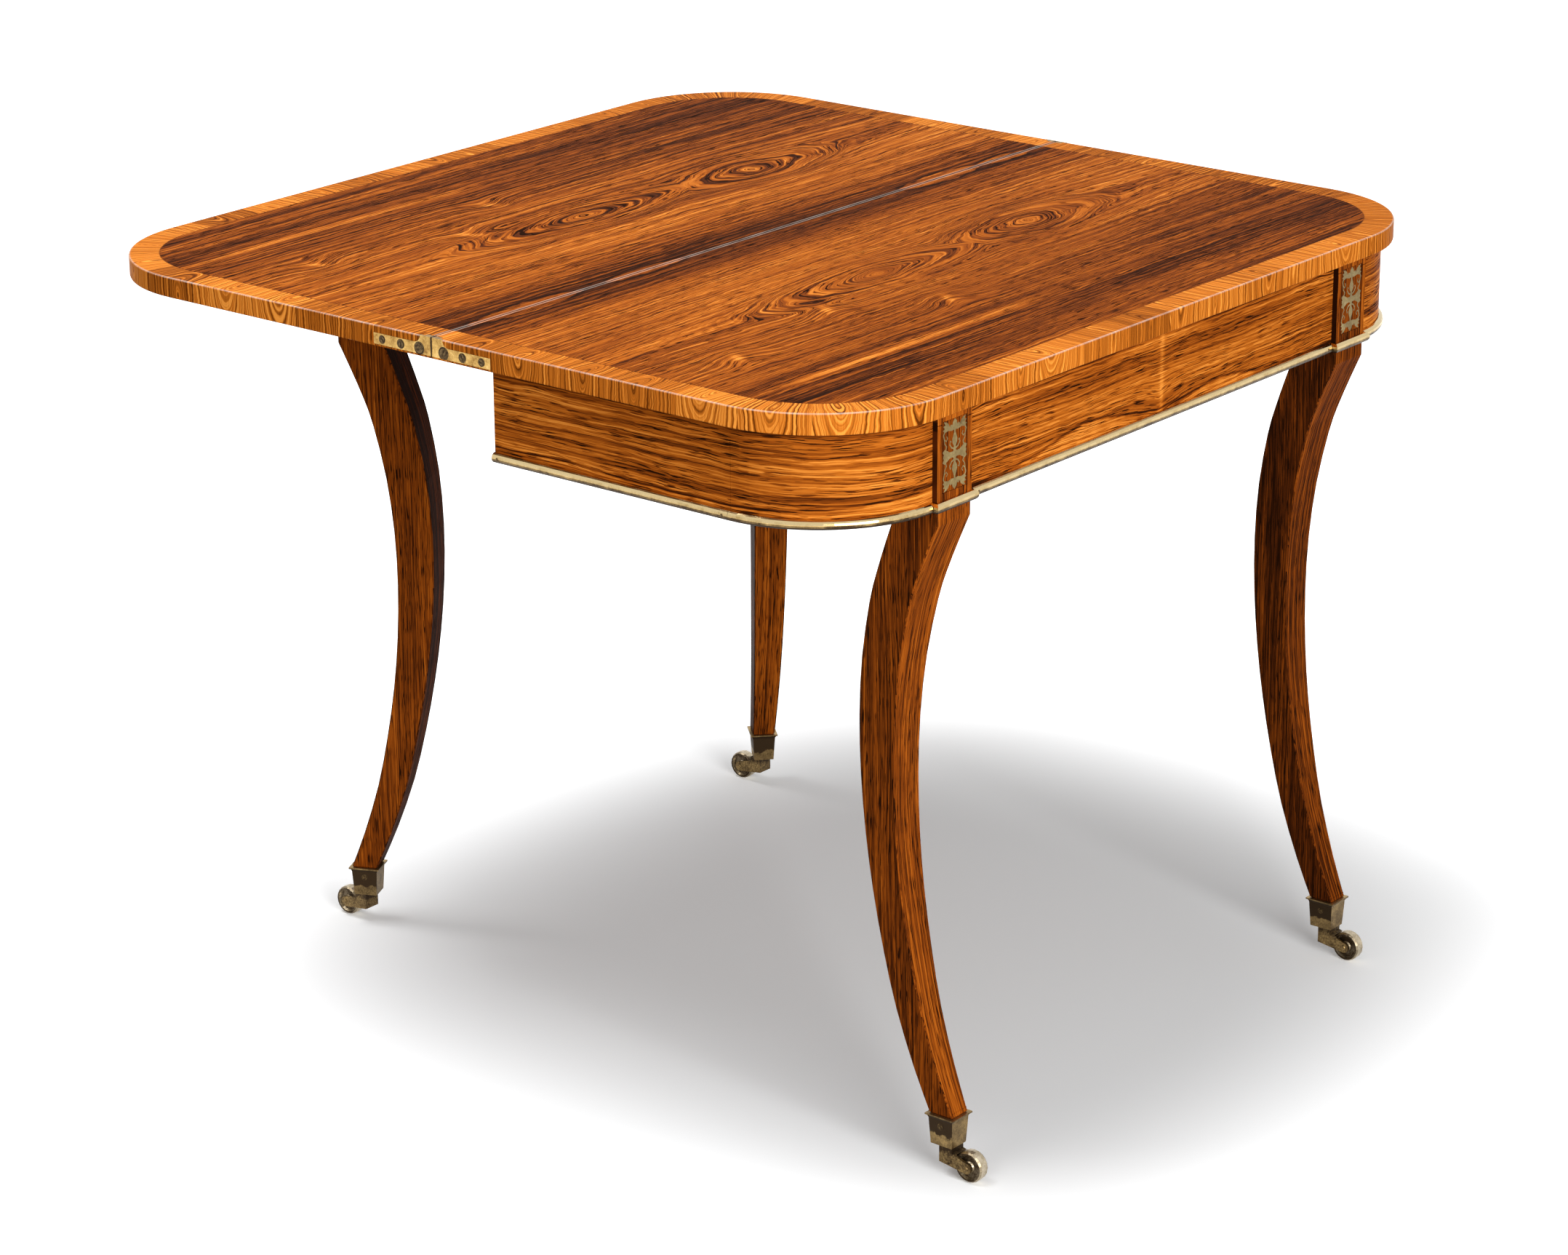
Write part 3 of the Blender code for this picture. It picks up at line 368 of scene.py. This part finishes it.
put_on(frieze_veneer("front_veneer", front_figure, 3.1, 0.64), "front_rail")
put_on(frieze_veneer("side_veneer", side_figure, 11.7, 0.60), "side_rail_left", "side_rail_right")
put_on(frieze_veneer("corner_veneer", corner_figure, 11.7, 0.60), "corner_left", "corner_right")

# The tablets: a rosewood panel on the head of each front leg, a darker field between thin lines and
# lighter borders, into which the pierced brass ornament is let.
TABLET_X = (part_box("tablet_right")[0].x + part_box("tablet_right")[1].x) / 2
TABLET_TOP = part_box("tablet_right")[1].z
# The thin lines: from the tablet's middle, down from its top, and their width
LINE_ASIDE, LINE_DOWN, LINE_WIDTH = 0.0172, 0.0082, 0.0004
FIELD_TONE = 0.34
PANEL_FACE = 0.00012
PANEL_SHARE = 0.4


def tablet_veneer():
    """Upright grain, with painted shade darkest on the side faces of the tablet."""
    material, shader = new_finish("tablet_veneer", 0.35, specular=POLISH)
    seed = 5.3
    x, y, z = coordinates(material)
    aside = abs(abs(x) - TABLET_X)
    down = TABLET_TOP - z
    soft = LINE_WIDTH / 2
    border = rise(aside, LINE_ASIDE - soft, LINE_ASIDE + soft)
    border = border.maths("MAXIMUM", rise(down, LINE_DOWN + soft, LINE_DOWN - soft))
    line = bell(aside, LINE_ASIDE, LINE_WIDTH).maths("MAXIMUM", bell(down, LINE_DOWN, LINE_WIDTH))
    wander = (noise(z * 8, x * 30, seed, 2.0) - 0.5) * 0.004
    # Painted shade on the tablet's side faces
    sides = rise(abs(facing(material)[0]), 0.5, 0.8)
    lightness = FIELD_TONE + border * 0.18 - line * 0.40 - sides * 0.45
    colour, tone, pore = rosewood(z, x + wander, lightness, seed, GROWTH_LINES, 1.1, 0.35)
    return polished(material, shader, colour, tone, pore)


def ground_veneer():
    """Upright grain of the tablet's field, as it shows between the leaves of the ornament."""
    material, shader = new_finish("panel_ground", 0.35, specular=POLISH)
    x, y, z = coordinates(material)
    colour, tone, pore = rosewood(z, x, FIELD_TONE, 8.8, GROWTH_LINES, 0.8, 0.20)
    return polished(material, shader, colour, tone, pore)


def panel_ground(side, material):
    """The dark veneer that shows between the leaves of the ornament."""
    low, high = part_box("inlay_" + side)
    size = high - low
    depth = size.y * PANEL_SHARE
    form = bmesh.new()
    bmesh.ops.create_cube(form, size=1, matrix=Matrix.Diagonal((size.x, 2 * depth, size.z, 1)))
    bmesh.ops.bevel(form, geom=form.edges[:], offset=PANEL_FACE, segments=1, affect="EDGES")
    middle = (low + high) / 2
    panel = linked("panel_" + side, form, (middle.x, low.y + PANEL_FACE + depth, middle.z))
    panel.data.materials.append(material)
    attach(panel, "root")


put_on(tablet_veneer(), "tablet_left", "tablet_right")
ground = ground_veneer()
for side in ("left", "right"):
    panel_ground(side, ground)

# The inlays, pierced out of sheet brass, and the bead, drawn in lengths and pinned under the frieze. All
# brass on the table was lacquered, and the lacquer has worn: it is bright where hands and cloths reach,
# olive and brown where they don't. The bead's bright upper side and dark underside are a painted
# highlight and painted shade.
TARNISH = (0.040, 0.024, 0.012)
WARM_BRASS = ((0.26, 0.14, 0.035), (0.50, 0.31, 0.095), (0.66, 0.47, 0.20))
PALE_BRASS = ((0.21, 0.165, 0.105), (0.45, 0.37, 0.25), (0.70, 0.61, 0.46))
BRIGHT_BRASS = ((0.22, 0.145, 0.060), (0.46, 0.31, 0.120), (0.68, 0.52, 0.27))
DULL_BRASS = ((0.13, 0.085, 0.028), (0.20, 0.142, 0.052), (0.32, 0.24, 0.105))
SCRATCH_DEPTH = 0.00003


def brass(name, wear, seed, shade=None, speckle=0.5, roughness=0.50, metals=BRIGHT_BRASS):
    """Aged brass; wear is 0 for dark patina and 1 for bright metal, and shade may add to it by place."""
    material, shader = new_finish(name, roughness, 1.0)
    x, y, z = coordinates(material)
    cloud = noise(x * 70, y * 70, z * 70 + seed, 4.0, 0.6)
    speck = noise(x * 600, y * 600, z * 600 + seed, 2.0, 0.6)
    tone = cloud - 0.5 + (speck - 0.5) * speckle + wear
    if shade:
        tone = tone + shade(material, x, y, z)
    colour = ramp(tone, (0.02, TARNISH), (0.36, metals[0]), (0.66, metals[1]), (0.95, metals[2]))
    height = noise(x * 900, y * 900, z * 2500, 2.0) * 0.5 + tone * 0.5
    bump = tone.node("Bump", {}, {"Height": height, "Distance": SCRATCH_DEPTH, "Strength": 0.5})
    wire(shader, Base_Color=colour, Roughness=roughness - tone * 0.25, Normal=bump)
    return material


def lit_top_shaded_underside(material, x, y, z):
    """Beads get a painted highlight on their rounded upper side, and painted shade below."""
    upward = facing(material)[2]
    # Painted highlight on faces that look up, painted shade on those that look down
    return upward * 0.30 - rise(upward, 0.35, -0.45) * 0.95


put_on(brass("inlay_brass", 0.56, 2.0, metals=DULL_BRASS), "inlay_left", "inlay_right")
put_on(brass("bead_brass", 0.92, 4.0, lit_top_shaded_underside, 0.3, 0.40), "bead_front", "bead_corner_left",
       "bead_corner_right", "bead_side_left", "bead_side_right", "bead_tablet_left", "bead_tablet_right")

# The legs: solid rosewood, sawn to the sabre curve, the grain straight down the leg. The front ones run
# up behind the tablets, the rear ones are fixed to the ends of the fly rails and turn with them.
CORNERS = [(end, side) for end in ("front", "rear") for side in ("left", "right")]
# The angle from X to the line across each leg's face, in degrees
LEG_TURNS = {"front_left": 0, "front_right": 0, "rear_left": 205, "rear_right": 137}
# Seed, tone of the face, and how much darker the cheeks are. These hold painted shade as well as the
# wood's own tone: on the rear left leg the face is painted near black and the cheeks are lighter
LEG_TONES_AND_SHADES = {"front_left": (23.0, 0.44, 0.15), "front_right": (27.0, 0.32, 0.16),
             "rear_left": (31.0, 0.06, -0.31), "rear_right": (31.0, 0.40, 0.30)}


def leg_wood(name, corner):
    """Solid wood, its grain straight down and its lines laid across the face or the cheek, with painted shade
    on one or the other.
    """
    material, shader = new_finish(name, 0.35, specular=POLISH)
    seed, lightness, cheek_shade = LEG_TONES_AND_SHADES[corner]
    cosine, sine = math.cos(math.radians(LEG_TURNS[corner])), math.sin(math.radians(LEG_TURNS[corner]))
    x, y, z = coordinates(material)
    normal_x, normal_y, normal_z = facing(material)
    cheek = rise(abs(normal_x * cosine + normal_y * sine), 0.5, 0.8)
    across = (x * cosine + y * sine) * (1 - cheek) + (y * cosine - x * sine) * cheek
    sway = (noise(z * 2.6, across * 8, seed, 2.0) - 0.5) * 0.012
    broad = noise(z * 2, across * 40, seed, 2.0)
    # Painted shade darkens the cheeks, or on the rear left leg the face
    lightness = (broad - 0.5) * 0.35 + lightness - cheek * cheek_shade
    colour, tone, pore = rosewood(z, across + sway, lightness, seed, GROWTH_LINES, 0.95, 0.48)
    return polished(material, shader, colour, tone, pore)


for end, side in CORNERS:
    put_on(leg_wood(f"{end}_leg_wood_{side}", f"{end}_{side}"), f"{end}_leg_{side}")

# The carcase behind: beech for the back rail, the knuckle block and the fly rails, sawn and left without
# polish. The fly rails turn on steel pins through the wooden knuckles.
PALE_BEECH = (0.42, 0.24, 0.11)
BROWN_BEECH = (0.24, 0.12, 0.05)
BEECH_GRAIN_DEPTH = 0.0001


def beech(name, along_x, seed):
    """Plain beech with its flecks, the grain along X or along an open gate."""
    material, shader = new_finish(name, 0.6, specular=0.3)
    x, y, z = coordinates(material)
    along = x if along_x else x * 0.6 + y * 0.8
    grain = noise(along * 6, z * 160, seed, 3.0)
    fleck = rise(noise(along * 120, z * 900, y * 900 + seed, 1.0), 0.62, 0.72)
    colour = mixed(grain + fleck * 0.3, (*BROWN_BEECH, 1), (*PALE_BEECH, 1))
    bump = grain.node("Bump", {}, {"Height": grain, "Distance": BEECH_GRAIN_DEPTH, "Strength": 0.5})
    wire(shader, Base_Color=colour, Normal=bump)
    return material


def pin_steel():
    """Bare steel with brown rust."""
    material, shader = new_finish("pin_steel", 0.4, 1.0)
    x, y, z = coordinates(material)
    rust = noise(x * 300, y * 300, z * 300, 3.0)
    wire(shader, Base_Color=ramp(rust, (0.35, (0.10, 0.07, 0.05)), (0.6, (0.32, 0.31, 0.30))))
    return material


put_on(beech("rail_beech", True, 1.0), "back_rail", "knuckle_block")
put_on(beech("gate_beech", False, 6.0), "fly_rail_left", "fly_rail_right")
put_on(pin_steel(), "knuckle_pin_left", "knuckle_pin_right")

# Castors: brass boxes on the feet, dark with old lacquer on their cheeks, and below each a swivelling
# fork with a turned roller, whose tread is worn bright.
SOCKET_FOOT, SOCKET_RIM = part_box("socket_front_left")[0].z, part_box("socket_front_left")[1].z
# Heights between which the lacquer, the lip of the box and the painted shade on the crown of the fork come in
LACQUER_START, LACQUER_FULL = SOCKET_FOOT + 0.009, SOCKET_FOOT + 0.012
LIP_START, LIP_FULL = SOCKET_RIM - 0.0016, SOCKET_RIM - 0.0012
CROWN_START, CROWN_FULL = SOCKET_FOOT - 0.010, SOCKET_FOOT - 0.002


def old_lacquer_and_lit_tops(material, x, y, z):
    """Dark patches on the upper half of the cheeks, a dark lip, and a painted highlight on faces that look
    up.
    """
    normal_x, normal_y, normal_z = facing(material)
    ragged = (noise(x * 130, y * 130, z * 130, 3.0) - 0.5) * 0.012
    patch = rise(z + ragged, LACQUER_START, LACQUER_FULL)
    cheeks = rise(abs(normal_x), 0.35, 0.65)
    lip = rise(z, LIP_START, LIP_FULL)
    # Faces that look up, the lip's top among them, get a painted highlight
    return patch * cheeks * (1 - lip) * -0.60 - lip * 0.12 + rise(normal_z, 0.5, 0.9) * 0.30


def shaded_fork_crown(material, x, y, z):
    """Painted shade on the top of the fork, under the socket."""
    # Painted shade under the socket
    return rise(z, CROWN_START, CROWN_FULL) * -0.30


def worn_tread(material, x, y, z):
    """The roller's tread is bright, its dished sides are darker."""
    return rise(abs(facing(material)[0]), 0.35, 0.8) * -0.68


socket_brass = brass("socket_brass", 0.34, 7.0, old_lacquer_and_lit_tops)
fork_brass = brass("fork_brass", 0.26, 9.0, shaded_fork_crown, 0.9)
wheel_brass = brass("wheel_brass", 0.74, 12.0, worn_tread, metals=PALE_BRASS)
for end, side in CORNERS:
    put_on(socket_brass, f"socket_{end}_{side}")
    put_on(fork_brass, f"fork_{end}_{side}", f"axle_{end}_{side}")
    put_on(wheel_brass, f"wheel_{end}_{side}")

# The top: two boards faced with matched leaves of rosewood, their grain along the joint, inside a band
# of lighter wood laid across the edge and down over it.
TOP_LOW, TOP_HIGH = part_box("fixed_top")
TOP_HALF_WIDTH = TOP_HIGH.x
TOP_DEPTH = HINGE_Y - TOP_LOW.y
TOP_SURFACE = TOP_HIGH.z
TOP_CORNER = 0.128
TOP_GROWTH_LINES = 430
BAND_WIDTH = 0.028
BAND_PIECE = 0.064
# The colour of the painted highlight along the arrises
ARRIS_HIGHLIGHT = (0.80, 0.67, 0.58, 1)
# The heart of the figure lies this far out from the joint
HEART_OUT = 0.168
# Nested rings, a knot and a long oval: the place along and out from the joint, and half the length and width
KNOT_RING = (0.176, 0.166, 0.110, 0.038)
OVAL_RING = (-0.055, 0.173, 0.150, 0.034)
# Small bright knots: the place along and out from the joint
SMALL_KNOTS = ((-0.345, 0.247), (-0.180, 0.210), (-0.085, 0.272))
# Pale lens-shaped islands at the joint: the place along, half the length, and the height
ISLANDS = ((-0.335, 0.078, 0.013), (-0.175, 0.058, 0.008), (0.265, 0.070, 0.013), (0.370, 0.055, 0.009))
# Dark places, each from where it starts to where it is full, out from the joint
JOINT_DARK = (0.076, 0.006)
OUTWARD_DARK = (0.150, 0.330)
STREAK_INNER, STREAK_OUTER = (0.338, 0.350), (0.388, 0.366)
# A pale lens lies just inside the streak, on the left half
LENS_OUT, LENS_WIDTH = 0.334, 0.0055


def ring_distance(x, out, ring):
    """0 at the middle of a ring with pointed ends, 1 on its edge."""
    along, away, half_length, half_width = ring
    return (abs((x - along) / half_length) ** 1.4 + abs((out - away) / half_width) ** 2) ** 0.5


def lines(across, detail):
    """Noise on one coordinate: stripes of uneven width."""
    return across.node("TexNoise", {"noise_dimensions": "1D"},
                       {"W": across, "Scale": 1.0, "Detail": detail, "Roughness": 0.6})


def islands(x, out, seed):
    """The pale islands at the joint, and a dark rim round them."""
    lenses = [(1 - ((x - place) / half_length) ** 2) * most for place, half_length, most in ISLANDS]
    height = lenses[0].maths("MAXIMUM", 0.0)
    for lens in lenses[1:]:
        height = height.maths("MAXIMUM", lens)
    height = height + (noise(x * 38, out * 20, seed + 8, 3.0) - 0.5) * 0.012 * rise(height, 0.0, 0.004)
    island = rise(out - height, 0.0008, -0.0008) * rise(height, 0.0, 0.002)
    return island, bell(out - height, 0.002, 0.0025)


def top_figure(x, out, seed):
    """The matched leaves: straight grain that opens into nested rings, dark at the joint and outwards."""
    sway = (noise(x * 3.5, out * 9, seed, 2.0) - 0.5) * 0.022
    shiver = (noise(x * 26, out * 70, seed + 2, 3.0) - 0.5) * 0.0075
    wavy_x = x + (noise(x * 14, out * 30, seed + 6, 2.0) - 0.5) * 0.045
    wavy_out = out + sway * 0.5 + shiver
    knot = ring_distance(wavy_x, wavy_out, KNOT_RING)
    ring = knot.maths("MINIMUM", ring_distance(wavy_x, wavy_out, OVAL_RING))
    # Outside the rings the grain flows round them, as water does round a stone
    inside = rise(ring, 1.25, 0.85)
    outer = ring.maths("MAXIMUM", 1.0)
    across = (wavy_out - HEART_OUT) * (1 - 0.8 / (outer * outer)) * (1 - inside) + ring * 0.036 * inside
    broken = noise(x * 9, out * 40, seed + 12, 2.0)
    nested = rise(lines(ring * 19 + seed, 1.0) + (broken - 0.5) * 0.35, 0.53, 0.42)
    nested = nested * rise(ring, 1.7, 0.8) * rise(ring, 0.08, 0.30)
    glow = rise(knot, 0.45, 0.0) * 0.20
    for knot_x, knot_out in SMALL_KNOTS:
        across = across + bell(x, knot_x, 0.026) * bell(wavy_out, knot_out, 0.022) * 0.014
        glow = glow + bell(x + (out - knot_out) * 0.5, knot_x, 0.006) * bell(out, knot_out, 0.010) * 0.42
    drift = out + sway * 0.4 + (noise(x * 3, out * 5, seed + 4, 2.0) - 0.5) * 0.030
    joint_dark = rise(drift, *JOINT_DARK) * 0.36
    outward = rise(drift, *OUTWARD_DARK) * 0.18
    streak = rise(drift, *STREAK_INNER) * rise(drift, *STREAK_OUTER) * 0.15
    shade = rise(x, 0.0, 0.35) * rise(out, 0.19, 0.28) * 0.10
    lens = bell(out + sway * 0.3, LENS_OUT, LENS_WIDTH) * rise(x, -0.41, -0.34) * rise(x, 0.0, -0.10)
    island, rim = islands(x, out, seed)
    lightness = 0.58 - joint_dark - outward - streak - shade - nested * 0.29 - rim * 0.18
    lightness = lightness + lens * 0.36 + glow + island * 0.27
    return rosewood(x, across, lightness, seed, TOP_GROWTH_LINES, 1.75, 0.55)


def band_figure(x, y, z, seed):
    """Crossbanding in short lengths, the grain across the edge, with arches and small eyes."""
    out_x = abs(x) - (TOP_HALF_WIDTH - TOP_CORNER)
    out_y = abs(y) - (TOP_DEPTH - TOP_CORNER)
    round_x = out_x.maths("MAXIMUM", 0.0)
    round_y = out_y.maths("MAXIMUM", 0.0)
    reach = (round_x * round_x + round_y * round_y) ** 0.5
    inward = TOP_CORNER - reach.maths("MAXIMUM", out_x.maths("MAXIMUM", out_y))
    turned = round_y.maths("ARCTAN2", round_x + 0.00001) * TOP_CORNER
    straight = out_y.maths("MINIMUM", 0.0) - out_x.maths("MINIMUM", 0.0)
    # Each quarter of the table counts its pieces from another number
    run = straight + turned + x.maths("SIGN") * 3.0 + y.maths("SIGN") * 7.0
    number = (run / BAND_PIECE).maths("FLOOR")
    chance = number.node("TexWhiteNoise", {"noise_dimensions": "1D"}, {"W": number + seed})
    other = number.node("TexWhiteNoise", {"noise_dimensions": "1D"}, {"W": number * 1.7 + seed + 40})
    down = inward + z - TOP_SURFACE
    wander = (noise(run * 45, down * 40, seed, 3.0) - 0.5) * 0.006
    aside = run - (number + 0.5) * BAND_PIECE + wander + (chance - 0.5) * 0.03
    eye = (down - 0.004 - (other - 0.5) * 0.05) * (chance * 0.26 + 0.09)
    field = (aside * aside + eye * eye) ** 0.5
    growth = lines(field * 430 + number * 7.3, 2.0)
    thread = noise(down * 20, run * 800, seed, 2.0)
    tone = (other - 0.5) * 0.38 + (growth - 0.5) * 2.0 + (thread - 0.5) * 0.55 + 0.53
    colour = ramp(tone, (0.08, (0.120, 0.026, 0.002)), (0.38, (0.34, 0.090, 0.008)),
                  (0.64, (0.59, 0.160, 0.014)), (0.98, (0.94, 0.34, 0.050)))
    return colour, tone, inward


def top_finish(name, seed, plain_underside):
    """Figure inside the band, a dark line between them, and a painted highlight along the arrises."""
    material, shader = new_finish(name, 0.35, specular=POLISH)
    x, y, z = coordinates(material)
    colour, tone, pore = top_figure(x, abs(y), seed)
    band, band_tone, inward = band_figure(x, y, z, seed)
    in_band = rise(inward, BAND_WIDTH + 0.0003, BAND_WIDTH - 0.0003)
    both = mixed(in_band, colour, band)
    both = mixed(bell(inward, BAND_WIDTH, 0.0007) * 0.6, both, (*DARK, 1))
    both = mixed(bell(abs(y), 0.0004, 0.0006) * 0.8, both, (*INK, 1))
    # A painted highlight along the arrises of the top and of the joint, broken up by noise
    near_top = rise(z, TOP_SURFACE - 0.0016, TOP_SURFACE - 0.0004)
    highlight_breakup = noise(x * 40, y * 40, seed, 2.0) * near_top
    arris_highlight = bell(inward, 0.0005, 0.0008).maths("MAXIMUM", bell(abs(y), 0.0018, 0.0007)) * highlight_breakup
    both = mixed(arris_highlight * 0.75, both, ARRIS_HIGHLIGHT)
    tones = tone * (1 - in_band) + band_tone * in_band
    if plain_underside:
        plain = noise(x * 5, y * 150, seed, 3.0)
        under = mixed(plain, (*BROWN_BEECH, 1), (*PALE_BEECH, 1))
        both = mixed(rise(facing(material)[2], -0.9, -0.98), both, under)
    return polished(material, shader, both, tones, pore * (1 - in_band))


put_on(top_finish("fixed_top_wood", 41.0, True), "fixed_top")
put_on(top_finish("leaf_top_wood", 41.6, False), "leaf_top")

# Card-table hinges: cast brass plates let into the edge at both ends of the joint, each held by three
# slotted screws in countersunk holes.
PLATE_MIDDLE = TOP_SURFACE - 0.012
PLATE_SINK = 0.00035
HEAD_HEIGHT = 0.0003
# The slot's width and the hole's radius, as shares of the head's diameter and radius
SLOT_SHARE, RIM_SHARE = 0.22, 1.38
# Distance from the joint and radius of each screw
HINGE_SCREWS = ((0.0142, 0.0043), (0.0360, 0.0032), (0.0580, 0.0028))


def patchy_gold(material, x, y, z):
    """Hinge plates are yellow, with orange-brown stains, and black where their halves meet."""
    return (noise(y * 160, z * 160, x, 3.0) - 0.5) * 0.5 - bell(y, 0.0, 0.0009) * 0.9


def sunk_plate(node, body, material):
    """A hinge plate whose face is let in, so that its screws end below the edge of the top."""
    form = bmesh.new()
    form.from_mesh(frame["nodes"][node].data)
    limit = TOP_HALF_WIDTH - PLATE_SINK
    for vertex in form.verts:
        vertex.co.x = min(limit, max(-limit, vertex.co.x))
    plate = linked(node + "_sunk", form)
    plate.data.materials.append(material)
    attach(plate, body)
    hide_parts(node)


hinge_brass = brass("hinge_brass", 0.55, 15.0, patchy_gold, metals=WARM_BRASS)
for side in ("left", "right"):
    sunk_plate("hinge_fixed_" + side, "root", hinge_brass)
    sunk_plate("hinge_leaf_" + side, "leaf", hinge_brass)
head_brass = brass("screw_brass", 0.12, 21.0)
seat_brass = brass("screw_seat", 0.02, 22.0)


def prism(form, outline, bottom, top, material_index):
    """Add a flat-topped block on an outline to a mesh in the making."""
    face = form.faces.new([form.verts.new((x, y, bottom)) for x, y in outline])
    made = bmesh.ops.extrude_face_region(form, geom=[face])
    raised = [item for item in made["geom"] if isinstance(item, bmesh.types.BMVert)]
    bmesh.ops.translate(form, verts=raised, vec=(0, 0, top - bottom))
    for block_face in {near for vertex in raised for near in vertex.link_faces} | {face}:
        block_face.material_index = material_index


def slotted_screw(name, body, place, outward, radius, turn):
    """A countersunk head in two halves, with its slot between them, on a dark seat."""
    form = bmesh.new()
    seat_radius = radius * RIM_SHARE
    angles = [math.radians(angle) for angle in range(0, 360, 12)]
    seat = [(seat_radius * math.cos(angle), seat_radius * math.sin(angle)) for angle in angles]
    prism(form, seat, -HEAD_HEIGHT, HEAD_HEIGHT * 0.1, 1)
    edge = math.degrees(math.asin(SLOT_SHARE / 2))
    for half in (0, 180):
        angles = [math.radians(half + edge + (180 - 2 * edge) * n / 14) for n in range(15)]
        outline = [(radius * math.cos(angle), radius * math.sin(angle)) for angle in angles]
        prism(form, outline, -HEAD_HEIGHT, HEAD_HEIGHT, 0)
    bmesh.ops.recalc_face_normals(form, faces=form.faces)
    screw = linked(name, form, place)
    screw.rotation_euler = (Vector(outward).to_track_quat("Z", "Y").to_matrix()
                            @ Matrix.Rotation(math.radians(turn), 3, "Z")).to_euler()
    screw.data.materials.append(head_brass)
    screw.data.materials.append(seat_brass)
    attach(screw, body)


# Each screw stops at another angle, in degrees
turn = 20
for side_name, side in (("left", -1), ("right", 1)):
    for half_name, way, body in (("fixed", -1, "root"), ("leaf", 1, "leaf")):
        for number, (distance, radius) in enumerate(HINGE_SCREWS):
            turn += 47
            slotted_screw(f"hinge_screw_{half_name}_{side_name}_{number}", body,
                          (side * (TOP_HALF_WIDTH - PLATE_SINK), HINGE_Y + way * distance, PLATE_MIDDLE),
                          (side, 0, 0), radius, turn)

# Small fixings: a slotted screw through each cheek of the castor sockets into the foot, and round brass
# pins that hold the lengths of bead.
SCREW_HEIGHT = SOCKET_FOOT + 0.0185
SCREW_RADIUS = 0.0024
CHEEK = 0.0114
CHEEK_SLOPE = -0.06
PIN_RADIUS = 0.0013
PIN_DOME = 0.4
PIN_INSET = 0.006
CARRIERS = {"front_left": "root", "front_right": "root", "rear_left": "gate_left", "rear_right": "gate_right"}
swivels = {joint["name"].removeprefix("swivel_"): Vector(joint["pos_m"]) for joint in frame["joints"]
           if joint["name"].startswith("swivel_")}
for corner, carrier in CARRIERS.items():
    centre = swivels[corner]
    across = math.radians(LEG_TURNS[corner])
    for cheek in (-1, 1):
        turn += 61
        outward = Vector((cheek * math.cos(across), cheek * math.sin(across), CHEEK_SLOPE)).normalized()
        place = (centre.x + cheek * CHEEK * math.cos(across), centre.y + cheek * CHEEK * math.sin(across),
                 SCREW_HEIGHT)
        slotted_screw(f"socket_screw_{corner}_{'in' if cheek > 0 else 'out'}", carrier, place, outward,
                      SCREW_RADIUS, turn)


def bead_pin(name, place, outward):
    """A small domed pin head."""
    form = bmesh.new()
    bmesh.ops.create_uvsphere(form, u_segments=14, v_segments=8, radius=PIN_RADIUS)
    for vertex in form.verts:
        vertex.co.z *= PIN_DOME
    head = linked(name, form, place)
    head.rotation_euler = Vector(outward).to_track_quat("Z", "Y").to_euler()
    head.data.shade_smooth()
    head.data.materials.append(seat_brass)
    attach(head, "root")


BEAD_LOW, BEAD_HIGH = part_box("bead_front")
SIDE_LOW, SIDE_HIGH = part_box("bead_side_right")
bead_height = (BEAD_LOW.z + BEAD_HIGH.z) / 2
for side_name, side in (("left", -1), ("right", 1)):
    front_x = side * (BEAD_HIGH.x - PIN_INSET)
    bead_pin("bead_pin_front_" + side_name, (front_x, BEAD_LOW.y, bead_height), (0, -1, 0))
    for number, y in enumerate((SIDE_LOW.y + PIN_INSET, SIDE_HIGH.y - PIN_INSET)):
        bead_pin(f"bead_pin_{side_name}_{number}", (side * SIDE_HIGH.x, y, bead_height), (side, 0, 0))
